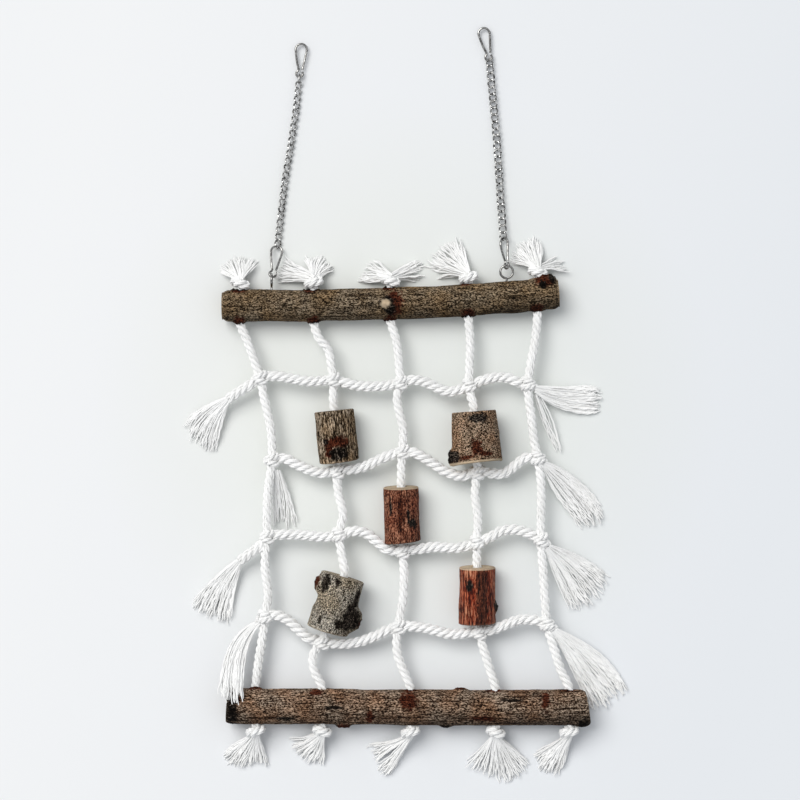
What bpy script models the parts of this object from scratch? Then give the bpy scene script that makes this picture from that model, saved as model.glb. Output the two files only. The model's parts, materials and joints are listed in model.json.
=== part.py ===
# Rope climbing net for small pets: two drilled branch perches, five vertical ropes, four knotted
# cross ropes, five log blocks on the ropes, and two chains with wire snap hooks to hang it by.
# The net lies flat: +Y runs from the net to its hooks, +Z is up from the surface it lies on.
from math import asin, cos, pi, radians, sin

import bmesh
import bpy
from mathutils import Matrix, Vector

MM = 0.001
GAP = 0.0003

# Ropes, knots and tassels
ROPE_RADIUS = 0.0034
CROSS_ROPE_RADIUS = 0.0039
KNOT_RADIUS = 0.0055
KNOT_HALF_LENGTH = 0.0039
END_KNOT_WIDTH = 0.0070
END_KNOT_LENGTH = 0.0046
END_KNOT_HEIGHT = 0.0056
END_KNOT_END_WIDTH = 0.0063
END_KNOT_END_HEIGHT = 0.0050
TASSEL_MIDDLE = 0.55
TASSEL_MIDDLE_WIDTH = 0.6
TASSEL_MIDDLE_SWELL = 1.15
TASSEL_END_THICKNESS = 0.0060
TASSEL_END_HEIGHT = 0.0050
NET_HEIGHT = 0.0135
FOLD_LIMIT = radians(40)
ROPE_SIDES = 8
ROPE_RING_STEP = 0.0115

# Perches and blocks
TOP_PERCH_RADIUS = 0.0116
BOTTOM_PERCH_RADIUS = 0.0129
BORE_CLEARANCE = 0.0004
BORE_RADIUS = (ROPE_RADIUS + BORE_CLEARANCE) / cos(pi / ROPE_SIDES)
PERCH_SIDES = 12
BARK_WAVE = 0.0003
BLOCK_SIDES = 12
STUB_RADIUS = 0.0042
STUB_LENGTH = 0.0030
STUB_TAPER = 0.7
RING_BEAT = 2.3

# Wire hardware
HOOK_WIRE_RADIUS = 0.0008
HOOK_BOW_RADIUS = 0.0039
HOOK_EYE_RADIUS = 0.0023
HOOK_BOW_CENTRE = 0.0171
HOOK_THROAT = 0.0009
GATE_GAP = 0.0006
CATCH_DROP = 0.0014
BOW_STEPS = 8
HOOK_EYE_START = radians(120)
HOOK_EYE_END = radians(400)
HOOK_EYE_STEPS = 10
GATE_ROOT = radians(40)
EYE_RING_RADIUS = 0.0045
EYE_WIRE_RADIUS = 0.0008
EYE_NECK = 0.0009
EYE_SHANK_RADIUS = 0.0012
EYE_SHANK_DEPTH = 0.0100
EYE_POINTS = 16
SHANK_TAPER = 0.6
LINK_WIRE_RADIUS = 0.00065
LINK_INNER_LENGTH = 0.0047
LINK_INNER_WIDTH = 0.0034
LINK_FUSE = 0.0003
CHAIN_HEIGHT = 0.0032
LINK_POINTS = 8
LINK_WIRE_SIDES = 6

# Heights of the perch axes: each perch rests on the surface
TOP_PERCH_HEIGHT = TOP_PERCH_RADIUS + BARK_WAVE
BOTTOM_PERCH_HEIGHT = BOTTOM_PERCH_RADIUS + BARK_WAVE

# Axis of each perch as it lies, left to right, millimetres in X and Y
TOP_PERCH_AXIS = [(-128, 69.3), (-73.5, 69.7), (-3.5, 71.2), (45.5, 73.5), (107.5, 78.3)]
BOTTOM_PERCH_AXIS = [(-124.5, -210.8), (-60, -211), (0, -211.6), (60, -211.9), (128, -211.4)]
TOP_BORES = [-115.5, -64, -10.2, 44.4, 92.8]
BOTTOM_BORES = [-104.6, -58.1, 3.8, 63.4, 114.8]
# Branch stubs on the bottom perch: X, and the side of the axis in Y
BOTTOM_STUBS = [(-43, -1), (41, 1), (30, -1)]

# Fold line of each cross rope in Y, and its knots on the five ropes
FOLD_LINES = [16.0, -42.0, -97.0, -159.0]
KNOTS = [
    [(-101.5, 18.9), (-50.4, 17.5), (-3.5, 15.4), (45.0, 13.3), (86.1, 14.7)],
    [(-93.1, -38.5), (-47.6, -45.4), (-2.1, -32.9), (50.4, -46.0), (93.1, -37.1)],
    [(-96.6, -92.4), (-46.2, -91.0), (-2.1, -101.4), (50.2, -96.6), (95.2, -94.5)],
    [(-98.0, -148.4), (-58.1, -165.2), (-4.9, -155.4), (51.8, -158.2), (99.4, -153.3)],
]

# Bends of the cross ropes between their knots
CROSS_BENDS = [
    [[(-91, 20.3), (-80.5, 18.6), (-66.5, 16.5)], [(-42, 15.4), (-31.5, 13.3), (-17.5, 13)],
     [(5, 17.5), (14, 16.1), (28, 9.8), (36, 10)], [(54, 17), (63, 19.3), (72, 18.9), (78.5, 16.1)]],
    [[(-84, -37.5), (-73.5, -42.7), (-59, -47.6)], [(-38.5, -45), (-28, -43), (-14, -36.5)],
     [(6.5, -33.6), (16, -38.5), (28, -46.2), (40, -49.7)],
     [(61, -48), (70, -47.6), (78.4, -41.3), (84.5, -37)]],
    [[(-87.5, -90.8), (-73.5, -91), (-57, -92.4)],
     [(-36.4, -88.5), (-28, -89.4), (-19, -96.2), (-12, -101.4)],
     [(9.1, -100.8), (21, -99.4), (37, -100)], [(60, -92.4), (67.5, -88.2), (77, -87.2), (87, -90)]],
    [[(-89.6, -147.2), (-81.9, -150.5), (-73.5, -158.2), (-67, -163.5)],
     [(-49, -167), (-35, -166.3), (-21, -162), (-13, -157.8)],
     [(4.9, -155), (17.5, -156.8), (31.5, -160.3), (42.7, -159.6)],
     [(61, -157.5), (70, -154), (80.5, -150.2), (90.5, -150.5)]],
]

# Frayed tails of the cross ropes from the outer knots: X, Y, Z, half width and half height
LEFT_TAILS = [
    [(-109, 15.5, 13, 3.9, 3.9), (-121, 7, 10, 5, 4), (-132, -8, 6, 10, 3.5), (-137.5, -25, 3.6, 17.5, 3)],
    [(-85.5, -38.5, 12.5, 3.2, 3.2), (-85.2, -47, 10, 3.4, 3.4), (-86, -60, 7, 4.5, 3.4),
     (-83.5, -79, 4, 7.5, 3)],
    [(-105, -96.3, 13, 4, 4), (-114, -108, 10, 5, 3.8), (-126, -124, 6, 9, 3.2), (-134.5, -138, 3.6, 15, 3)],
    [(-106.5, -153.5, 14.5, 4, 4), (-114, -173, 18, 6, 3.4), (-117.5, -190, 22.5, 8, 2.8),
     (-117.5, -203, 29.5, 8, 2.2)],
]
RIGHT_TAILS = [
    [(93.5, 11.5, 13, 4, 4), (103, 7, 9, 6, 3.5), (120, 4, 5, 8, 3), (136.5, 2.8, 3.6, 9, 3)],
    [(101.5, -41.2, 12.5, 4, 4), (112, -52, 9, 6.5, 3.5), (126, -68, 5.5, 8.5, 3.2),
     (133, -80, 3.6, 9.5, 3)],
    [(103.2, -99, 12.5, 4, 4), (111, -112, 9.5, 7, 3.6), (124, -124, 6, 12, 3.2), (134, -132.5, 3.6, 16, 3)],
    [(108.6, -157.2, 13, 3.9, 3.9), (120, -173, 10, 7, 3.6), (133, -189, 6, 10.5, 3.2),
     (144.5, -205, 3.6, 13, 3)],
]
RIGHT_CLUMP = [
    (95.5, 10, 12, 2.8, 2.8), (98.5, 2, 9.5, 3, 3), (102, -10, 6, 3.5, 2.8), (107, -29, 3.6, 6, 2.6),
]

# Bends of the vertical ropes in each band, from the top perch down
TOP_SPAN_BENDS = [
    [(-109, 41)], [(-60.5, 47), (-53.5, 38)], [(-5.6, 42)], [(45.6, 42)], [(91, 45)],
]
SPAN_BENDS = [
    [[(-98.5, 4), (-94, -17)], None, [(-5.6, 3.5), (-1.4, -17.5)], None, [(88.2, -7), (90.3, -24.5)]],
    [[(-95.9, -59.5), (-96.6, -77)], [(-47.0, -59.5), (-43.4, -77)], None, [(49, -63), (51, -80.5)],
     [(95.2, -56), (95.2, -73.5)]],
    [[(-98, -112), (-95.9, -133)], None, [(-0.7, -115.5), (-1.5, -136.5)], None,
     [(96.6, -115.5), (98, -136.5)]],
]
BOTTOM_SPAN_BENDS = [
    [(-100, -164.5), (-102.9, -182)], [(-64.4, -175), (-63.5, -186)], [(-5.6, -171.5), (-2, -184)],
    [(55.3, -171.5), (59.5, -185.5)], [(103.6, -168), (108.5, -184)],
]

# End tassels: reach in X and Y from the end knot, and half width
TOP_TASSELS = [(-3.5, 20, 11.5), (1.5, 17, 12.5), (0, 15, 20), (-13, 17, 10), (-7, 19, 11)]
BOTTOM_TASSELS = [(-7, -26, 16), (-10.5, -24, 11), (-16, -26, 10), (2, -34, 20), (-14.5, -27, 10)]

# Log blocks: row and rope that carry each, its radius, upper and lower end of its bore in X and Y
BLOCK_ROPES = {
    "block_a": (0, 1), "block_b": (0, 3), "block_c": (1, 2), "block_d": (2, 1), "block_e": (2, 3),
}
BLOCK_RADII = {
    "block_a": 0.0136, "block_b": 0.0166, "block_c": 0.0126, "block_d": 0.0154, "block_e": 0.0131,
}
BLOCK_ENDS = {
    "block_a": [(-49.9, -1.6), (-46.1, -37.7)],
    "block_b": [(48.0, -4.4), (50.6, -39.2)],
    "block_c": [(-2.7, -57.3), (-1.9, -93.9)],
    "block_d": [(-43.1, -119.8), (-53.9, -155.6)],
    "block_e": [(50.4, -113.4), (50.7, -151.7)],
}
# Branch stubs on the blocks: share of the length from the upper end, and angle about the axis
BLOCK_STUBS = {"block_b": (0.86, radians(15)), "block_d": (0.28, radians(30))}
# Widening of each block from its upper to its lower end, as a share of its radius
BLOCK_FLARES = {
    "block_a": -0.04, "block_b": 0.10, "block_c": 0.02, "block_d": -0.14, "block_e": 0.03,
}

# Screw eyes in the top perch in X, headings of their hooks and chains from +Y towards +X
EYES_X = {"left": -93.4, "right": 71.2}
HOOK_HEADINGS = {"left": radians(9), "right": radians(-6)}
HOOK_ROLLS = {"left": 0.0, "right": radians(50)}
CHAIN_HEADINGS = {
    "left": [radians(a) for a in (6, 7, 9.5, 8.5, 5.5)],
    "right": [radians(a) for a in (-4, -3.5, -4, -5.5, -5.5)],
}
UPPER_HOOK_HEADINGS = {"left": radians(4), "right": radians(-11)}
RIGHT_HOOK_SLOPE = radians(20)
# Links in each segment, from the lower hook up: the right chain is one link longer
CHAIN_LINKS = {"left": (5, 5, 5, 5, 5), "right": (5, 5, 5, 5, 6)}


# Scene and materials
for old in list(bpy.data.objects):
    bpy.data.objects.remove(old, do_unlink=True)

parts = bpy.data.collections.new("rope_climbing_net")
bpy.context.scene.collection.children.link(parts)


def make_material(name, colour, roughness, metallic=0.0):
    material = bpy.data.materials.new(name)
    material.use_nodes = True
    shader = material.node_tree.nodes["Principled BSDF"]
    shader.inputs["Base Color"].default_value = (*colour, 1)
    shader.inputs["Roughness"].default_value = roughness
    shader.inputs["Metallic"].default_value = metallic
    return material


COTTON = make_material("white_cotton_rope", (0.84, 0.83, 0.80), 0.95)
GREY_BARK = make_material("grey_brown_bark", (0.17, 0.125, 0.08), 0.9)
RED_BARK = make_material("reddish_bark", (0.15, 0.07, 0.045), 0.75)
STEEL = make_material("plated_steel_wire", (0.55, 0.55, 0.53), 0.3, 1.0)


# Rigid bodies: an empty on each joint's axis carries the pieces that move with it
BODIES = {}


def make_body(name, pivot, parent=None, axis=(1, 0, 0)):
    empty = bpy.data.objects.new(name, None)
    empty["joint_axis"] = list(axis)
    empty.empty_display_size = 0.01
    parts.objects.link(empty)
    BODIES[name] = Vector(pivot)
    if parent:
        empty.parent = bpy.data.objects[parent]
        empty.location = Vector(pivot) - BODIES[parent]
    else:
        empty.location = pivot


def add_piece(name, mesh, material, body):
    """Hangs a mesh that is in world coordinates on its body's empty."""
    mesh.transform(Matrix.Translation(-BODIES[body]))
    mesh.materials.clear()
    mesh.materials.append(material)
    mesh.shade_smooth()
    mesh.set_sharp_from_angle(angle=radians(45))
    piece = bpy.data.objects.new(name, mesh)
    parts.objects.link(piece)
    piece.parent = bpy.data.objects[body]
    return piece


# Mesh helpers
def evaluated_mesh(source, welded=False):
    bpy.context.view_layer.update()
    graph = bpy.context.evaluated_depsgraph_get()
    mesh = bpy.data.meshes.new_from_object(source.evaluated_get(graph))
    mesh.transform(source.matrix_world)
    if welded:
        work = bmesh.new()
        work.from_mesh(mesh)
        bmesh.ops.remove_doubles(work, verts=work.verts, dist=0.000001)
        bmesh.ops.recalc_face_normals(work, faces=work.faces)
        work.to_mesh(mesh)
        work.free()
    return mesh


def combine(mesh, others, operation):
    """Boolean of one mesh with several others, one after another."""
    target = bpy.data.objects.new("target", mesh)
    parts.objects.link(target)
    tools = []
    for other in others:
        tool = bpy.data.objects.new("tool", other)
        parts.objects.link(tool)
        modifier = target.modifiers.new("boolean", "BOOLEAN")
        modifier.operation = operation
        modifier.solver = "EXACT"
        modifier.object = tool
        tools.append(tool)
    result = evaluated_mesh(target)
    for spent in [target] + tools:
        bpy.data.objects.remove(spent, do_unlink=True)
    return result


def smooth_points(points, step):
    """Points about a step apart on a smooth curve through the given rows of numbers."""
    rows = [Vector(p) for p in points]
    padded = [2 * rows[0] - rows[1]] + rows + [2 * rows[-1] - rows[-2]]
    result = []
    for a, b, c, d in zip(padded, padded[1:], padded[2:], padded[3:]):
        count = max(1, round((c.xyz - b.xyz).length / step))
        for k in range(count):
            t = k / count
            result.append(
                0.5 * (2 * b + (c - a) * t + (2 * a - 5 * b + 4 * c - d) * t ** 2
                       + (3 * b - a - 3 * c + d) * t ** 3)
            )
    return result + [rows[-1]]


def loft(rings, sides, turn=0.0):
    """Closed skin over rings: X, Y, Z, half width across and half height of each."""
    work = bmesh.new()
    loops = []
    for i, ring in enumerate(rings):
        before = rings[max(i - 1, 0)]
        after = rings[min(i + 1, len(rings) - 1)]
        along = (Vector(after[:3]) - Vector(before[:3])).normalized()
        across = along.cross(Vector((0, 0, 1))).normalized()
        upward = across.cross(along)
        loop = []
        for k in range(sides):
            angle = turn + 2 * pi * k / sides
            offset = across * cos(angle) * ring[3] + upward * sin(angle) * ring[4]
            loop.append(work.verts.new(Vector(ring[:3]) + offset))
        loops.append(loop)
    for here, there in zip(loops, loops[1:]):
        for k in range(sides):
            work.faces.new((here[k], here[k - 1], there[k - 1], there[k]))
    work.faces.new(loops[0])
    work.faces.new(list(reversed(loops[-1])))
    bmesh.ops.recalc_face_normals(work, faces=work.faces)
    mesh = bpy.data.meshes.new("loft")
    work.to_mesh(mesh)
    work.free()
    return mesh


def rope_mesh(controls, turn=pi / ROPE_SIDES):
    """Rope skin through control rings given in metres."""
    return loft(smooth_points(controls, ROPE_RING_STEP), ROPE_SIDES, turn)


def ring(x, y, z, radius, height=None):
    return (x, y, z, radius, radius if height is None else height)


def in_metres(rows):
    return [tuple(value * MM for value in row) for row in rows]


def wire_mesh(points, radius, cyclic=False, resolution=1):
    """Round wire along a polyline."""
    curve = bpy.data.curves.new("wire", "CURVE")
    curve.dimensions = "3D"
    curve.bevel_depth = radius
    curve.bevel_resolution = resolution
    curve.use_fill_caps = not cyclic
    spline = curve.splines.new("POLY")
    spline.points.add(len(points) - 1)
    for point, place in zip(spline.points, points):
        point.co = (*place, 1)
    spline.use_cyclic_u = cyclic
    holder = bpy.data.objects.new("wire", curve)
    parts.objects.link(holder)
    mesh = evaluated_mesh(holder, welded=True)
    bpy.data.objects.remove(holder, do_unlink=True)
    return mesh


def rod_mesh(start, end, start_radius, end_radius, sides):
    """Straight round rod or cone between two points."""
    work = bmesh.new()
    direction = Vector(end) - Vector(start)
    bmesh.ops.create_cone(
        work, cap_ends=True, segments=sides, radius1=start_radius, radius2=end_radius, depth=direction.length
    )
    turn = direction.to_track_quat("Z", "Y").to_matrix().to_4x4()
    bmesh.ops.transform(
        work, matrix=Matrix.Translation((Vector(start) + Vector(end)) / 2) @ turn, verts=work.verts
    )
    mesh = bpy.data.meshes.new("rod")
    work.to_mesh(mesh)
    work.free()
    return mesh


# Perches: lofted branches, drilled across for the ropes
def axis_at(axis, x):
    """Y of a perch's axis at X, both in metres."""
    for (x0, y0), (x1, y1) in zip(axis, axis[1:]):
        if x <= x1 * MM or (x1, y1) == axis[-1]:
            return (y0 + (y1 - y0) * (x / MM - x0) / (x1 - x0)) * MM


def branch_mesh(axis, height, radius):
    rows = [(x * MM, y * MM, height) for x, y in axis]
    rings = []
    for i, point in enumerate(smooth_points(rows, radius * 2)):
        swell = radius + BARK_WAVE * sin(RING_BEAT * i)
        rings.append((*point, swell, swell))
    return loft(rings, PERCH_SIDES, pi / PERCH_SIDES)


def rope_bore(x, axis, height, radius):
    y = axis_at(axis, x)
    reach = radius * 2
    return rod_mesh((x, y - reach, height), (x, y + reach, height), BORE_RADIUS, BORE_RADIUS, ROPE_SIDES)


make_body("top_band", (0, axis_at(TOP_PERCH_AXIS, 0), TOP_PERCH_HEIGHT))

top_perch = branch_mesh(TOP_PERCH_AXIS, TOP_PERCH_HEIGHT, TOP_PERCH_RADIUS)
knob_x = TOP_PERCH_AXIS[-1][0] * MM - STUB_RADIUS
knob_y = axis_at(TOP_PERCH_AXIS, knob_x)
knob = rod_mesh(
    (knob_x, knob_y, TOP_PERCH_HEIGHT),
    (knob_x + STUB_LENGTH / 4, knob_y + TOP_PERCH_RADIUS + STUB_LENGTH, TOP_PERCH_HEIGHT),
    STUB_RADIUS, STUB_RADIUS * STUB_TAPER, BLOCK_SIDES,
)
top_perch = combine(top_perch, [knob], "UNION")
top_cutters = [rope_bore(x * MM, TOP_PERCH_AXIS, TOP_PERCH_HEIGHT, TOP_PERCH_RADIUS) for x in TOP_BORES]
for side in EYES_X:
    eye_x = EYES_X[side] * MM
    surface = axis_at(TOP_PERCH_AXIS, eye_x) + TOP_PERCH_RADIUS
    depth = surface - EYE_SHANK_DEPTH - GAP
    top_cutters.append(
        rod_mesh(
            (eye_x, depth, TOP_PERCH_HEIGHT),
            (eye_x, surface + TOP_PERCH_RADIUS, TOP_PERCH_HEIGHT),
            EYE_SHANK_RADIUS + GAP, EYE_SHANK_RADIUS + GAP, ROPE_SIDES,
        )
    )
top_perch = combine(top_perch, top_cutters, "DIFFERENCE")
add_piece("top_perch", top_perch, GREY_BARK, "top_band")

BAND_NAMES = ["top_band", "row_1_band", "row_2_band", "row_3_band", "bottom_band"]
for parent, band, line in zip(BAND_NAMES, BAND_NAMES[1:], FOLD_LINES):
    make_body(band, (0, line * MM, NET_HEIGHT), parent)

bottom_perch = branch_mesh(BOTTOM_PERCH_AXIS, BOTTOM_PERCH_HEIGHT, BOTTOM_PERCH_RADIUS)
stubs = []
for stub_x, toward in BOTTOM_STUBS:
    stub_y = axis_at(BOTTOM_PERCH_AXIS, stub_x * MM)
    stubs.append(
        rod_mesh(
            (stub_x * MM, stub_y, BOTTOM_PERCH_HEIGHT),
            (stub_x * MM, stub_y + toward * (BOTTOM_PERCH_RADIUS + STUB_LENGTH / 2), BOTTOM_PERCH_HEIGHT),
            STUB_RADIUS, STUB_RADIUS * STUB_TAPER, ROPE_SIDES,
        )
    )
bottom_perch = combine(bottom_perch, stubs, "UNION")
bottom_cutters = [
    rope_bore(x * MM, BOTTOM_PERCH_AXIS, BOTTOM_PERCH_HEIGHT, BOTTOM_PERCH_RADIUS) for x in BOTTOM_BORES
]
bottom_perch = combine(bottom_perch, bottom_cutters, "DIFFERENCE")
add_piece("bottom_perch", bottom_perch, RED_BARK, "bottom_band")


# Vertical ropes: each runs from its upper end knot to its lower one, parted at the cross ropes
def span_foot(row, rope):
    """Square end of a rope above a knot, clear of the knot as its band folds."""
    x, y = in_metres([KNOTS[row][rope]])[0]
    drop = max(0.0, FOLD_LINES[row] * MM - y)
    end = y + drop * (1 - cos(FOLD_LIMIT)) + KNOT_RADIUS + GAP
    return [ring(x, end + ROPE_RADIUS, NET_HEIGHT, ROPE_RADIUS), ring(x, end, NET_HEIGHT, ROPE_RADIUS)]


def span_head(row, rope):
    """Square end of a rope below the knot of its own band."""
    x, y = in_metres([KNOTS[row][rope]])[0]
    start = y - KNOT_RADIUS - GAP
    return [ring(x, start, NET_HEIGHT, ROPE_RADIUS), ring(x, start - ROPE_RADIUS, NET_HEIGHT, ROPE_RADIUS)]


def bend_rings(bends, height=NET_HEIGHT):
    return [ring(x * MM, y * MM, height, ROPE_RADIUS) for x, y in bends]


def end_knot_rings(x, face, way, height):
    """Knot that seats against a perch's face, way is the direction away from the perch in Y."""
    centre = face + way * (END_KNOT_LENGTH + GAP)
    return [
        ring(x, face + way * GAP, height, ROPE_RADIUS),
        ring(x, centre - way * END_KNOT_LENGTH / 2, height, END_KNOT_WIDTH, END_KNOT_HEIGHT),
        ring(x, centre + way * END_KNOT_LENGTH / 2, height, END_KNOT_END_WIDTH, END_KNOT_END_HEIGHT),
        ring(x, centre + way * (END_KNOT_LENGTH + ROPE_RADIUS / 2), height, ROPE_RADIUS),
    ]


def tassel_rings(root, reach, half_width):
    end = Vector((root[0] + reach[0], root[1] + reach[1], TASSEL_END_HEIGHT))
    middle = Vector(root[:3]).lerp(end, TASSEL_MIDDLE)
    thick = TASSEL_END_THICKNESS / 2
    return [
        (*middle, half_width * TASSEL_MIDDLE_WIDTH, thick * TASSEL_MIDDLE_SWELL),
        (*end, half_width, thick),
    ]


for rope in range(len(TOP_BORES)):
    x = TOP_BORES[rope] * MM
    y = axis_at(TOP_PERCH_AXIS, x)
    swell = TOP_PERCH_RADIUS + BARK_WAVE
    knot = end_knot_rings(x, y + swell, 1, TOP_PERCH_HEIGHT)
    dx, dy, half_width = in_metres([TOP_TASSELS[rope]])[0]
    controls = list(reversed(knot + tassel_rings(knot[-1], (dx, dy), half_width)))
    controls.append(ring(x, y - swell, TOP_PERCH_HEIGHT, ROPE_RADIUS))
    controls += bend_rings(TOP_SPAN_BENDS[rope])
    controls += span_foot(0, rope)
    add_piece(f"rope_{rope + 1}_top", rope_mesh(controls), COTTON, "top_band")


# Log blocks: drilled along their axes, free to turn on the ropes
def block_axis(name):
    height = max(BLOCK_RADII[name] * (1 + abs(BLOCK_FLARES[name])), NET_HEIGHT)
    return [Vector((x * MM, y * MM, height)) for x, y in BLOCK_ENDS[name]]


for row in range(3):
    band = BAND_NAMES[row + 1]
    for rope in range(len(TOP_BORES)):
        controls = span_head(row, rope)
        carried = [name for name in BLOCK_ROPES if BLOCK_ROPES[name] == (row, rope)]
        if carried:
            upper, lower = block_axis(carried[0])
            lead = (upper - lower).normalized() * ROPE_RADIUS
            for place in (upper + 1.5 * lead, upper + 0.5 * lead, lower + lead, lower - 0.1 * lead):
                controls.append(ring(*place, ROPE_RADIUS))
            foot = span_foot(row + 1, rope)
            if foot[0][1] < controls[-1][1] - ROPE_RADIUS:
                controls += foot
        else:
            controls += bend_rings(SPAN_BENDS[row][rope])
            controls += span_foot(row + 1, rope)
        add_piece(f"rope_{rope + 1}_span_{row + 2}", rope_mesh(controls), COTTON, band)

for name in BLOCK_ROPES:
    row = BLOCK_ROPES[name][0]
    radius = BLOCK_RADII[name]
    upper, lower = block_axis(name)
    middle = upper.lerp(lower, 0.5)
    body = name + "_spin"
    make_body(body, middle, BAND_NAMES[row + 1], (upper - lower).normalized())
    rows = []
    for share in (0, 0.25, 0.5, 0.75, 1):
        size = radius * (1 + BLOCK_FLARES[name] * (share - 0.5))
        rows.append((*upper.lerp(lower, share), size, size))
    log = loft(rows, BLOCK_SIDES, pi / BLOCK_SIDES)
    if name in BLOCK_STUBS:
        share, angle = BLOCK_STUBS[name]
        foot = upper.lerp(lower, share)
        across = (lower - upper).normalized().cross(Vector((0, 0, 1)))
        out = across * cos(angle) + Vector((0, 0, 1)) * sin(angle)
        stub = rod_mesh(
            foot, foot + out * (radius + STUB_LENGTH), STUB_RADIUS * 1.2, STUB_RADIUS, ROPE_SIDES
        )
        log = combine(log, [stub], "UNION")
    beyond = (upper - lower).normalized() * radius
    drill = rod_mesh(upper + beyond, lower - beyond, BORE_RADIUS, BORE_RADIUS, ROPE_SIDES)
    log = combine(log, [drill], "DIFFERENCE")
    add_piece(name, log, RED_BARK if name in ("block_c", "block_e") else GREY_BARK, body)

for rope in range(len(BOTTOM_BORES)):
    x = BOTTOM_BORES[rope] * MM
    y = axis_at(BOTTOM_PERCH_AXIS, x)
    swell = BOTTOM_PERCH_RADIUS + BARK_WAVE
    knot = end_knot_rings(x, y - swell, -1, BOTTOM_PERCH_HEIGHT)
    dx, dy, half_width = in_metres([BOTTOM_TASSELS[rope]])[0]
    controls = span_head(3, rope) + bend_rings(BOTTOM_SPAN_BENDS[rope])
    controls.append(ring(x, y + swell, BOTTOM_PERCH_HEIGHT, ROPE_RADIUS))
    controls += knot + tassel_rings(knot[-1], (dx, dy), half_width)
    add_piece(f"rope_{rope + 1}_bottom", rope_mesh(controls), COTTON, "bottom_band")


# Cross ropes: one rope a row, knotted round each vertical rope and frayed at both ends
def knot_rings(centre):
    x, y = centre[0] * MM, centre[1] * MM
    return [ring(x + end * KNOT_HALF_LENGTH, y, NET_HEIGHT, KNOT_RADIUS) for end in (-1, 1)]


def cross_bend_rings(bends):
    return [ring(x * MM, y * MM, NET_HEIGHT, CROSS_ROPE_RADIUS) for x, y in bends]


for row in range(len(KNOTS)):
    controls = []
    left = in_metres(LEFT_TAILS[row])
    side_tail = left[0][0] > KNOTS[row][0][0] * MM
    if not side_tail:
        controls += list(reversed(left))
    for index, centre in enumerate(KNOTS[row]):
        controls += knot_rings(centre)
        if index < len(CROSS_BENDS[row]):
            controls += cross_bend_rings(CROSS_BENDS[row][index])
    controls += in_metres(RIGHT_TAILS[row])
    # A corner of the skin leads, so a knot keeps its reach as the row folds
    mesh = rope_mesh(controls, 0)
    branches = []
    if side_tail:
        branches.append(rope_mesh(left))
    if row == 0:
        branches.append(rope_mesh(in_metres(RIGHT_CLUMP)))
    if branches:
        mesh = combine(mesh, branches, "UNION")
    add_piece(f"cross_rope_{row + 1}", mesh, COTTON, BAND_NAMES[row + 1])


# Screw eyes: a wire ring on a shank that is screwed into the top perch
def eye_centre(side):
    x = EYES_X[side] * MM
    y = axis_at(TOP_PERCH_AXIS, x) + TOP_PERCH_RADIUS + EYE_NECK + EYE_RING_RADIUS + EYE_WIRE_RADIUS
    return Vector((x, y, TOP_PERCH_HEIGHT))


for side in EYES_X:
    centre = eye_centre(side)
    normal = Vector((1, 0, 0)) if HOOK_ROLLS[side] == 0 else Vector((0, 0, 1))
    spoke = normal.cross(Vector((0, 1, 0)))
    points = []
    for k in range(EYE_POINTS):
        angle = 2 * pi * k / EYE_POINTS
        points.append(centre + EYE_RING_RADIUS * (Vector((0, 1, 0)) * cos(angle) + spoke * sin(angle)))
    shank_top = centre - Vector((0, EYE_RING_RADIUS, 0))
    shank_foot = shank_top.copy()
    shank_foot.y = centre.y - EYE_RING_RADIUS - EYE_WIRE_RADIUS - EYE_NECK - EYE_SHANK_DEPTH
    shank = rod_mesh(shank_foot, shank_top, EYE_SHANK_RADIUS * SHANK_TAPER, EYE_SHANK_RADIUS, ROPE_SIDES)
    eye = combine(wire_mesh(points, EYE_WIRE_RADIUS, cyclic=True), [shank], "UNION")
    add_piece(f"screw_eye_{side}", eye, STEEL, "top_band")


# Snap hooks: one bent wire with a bow and a small eye, and a springy gate that closes the bow
EYE_SEAT = HOOK_EYE_RADIUS - HOOK_WIRE_RADIUS - EYE_WIRE_RADIUS - GAP
BOW_TOP = HOOK_BOW_CENTRE + HOOK_BOW_RADIUS
LINK_SEAT = HOOK_WIRE_RADIUS + LINK_WIRE_RADIUS + GAP
GATE_PIVOT = (
    HOOK_EYE_RADIUS * cos(GATE_ROOT),
    HOOK_EYE_RADIUS * sin(GATE_ROOT) + GATE_GAP + HOOK_WIRE_RADIUS,
)
CATCH = (HOOK_BOW_RADIUS, HOOK_BOW_CENTRE - CATCH_DROP)


def hook_frame(origin, heading, slope, roll):
    """Axes of a hook: side, length and normal, sloping down along its length and rolled about it."""
    length = Vector((sin(heading) * cos(slope), cos(heading) * cos(slope), -sin(slope)))
    flat_side = length.cross(Vector((0, 0, 1))).normalized()
    flat_normal = flat_side.cross(length)
    side = flat_side * cos(roll) + flat_normal * sin(roll)
    return Vector(origin), side, length, side.cross(length)


def on_hook(frame, across, along):
    origin, side, length, _ = frame
    return origin + side * across + length * along


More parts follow.
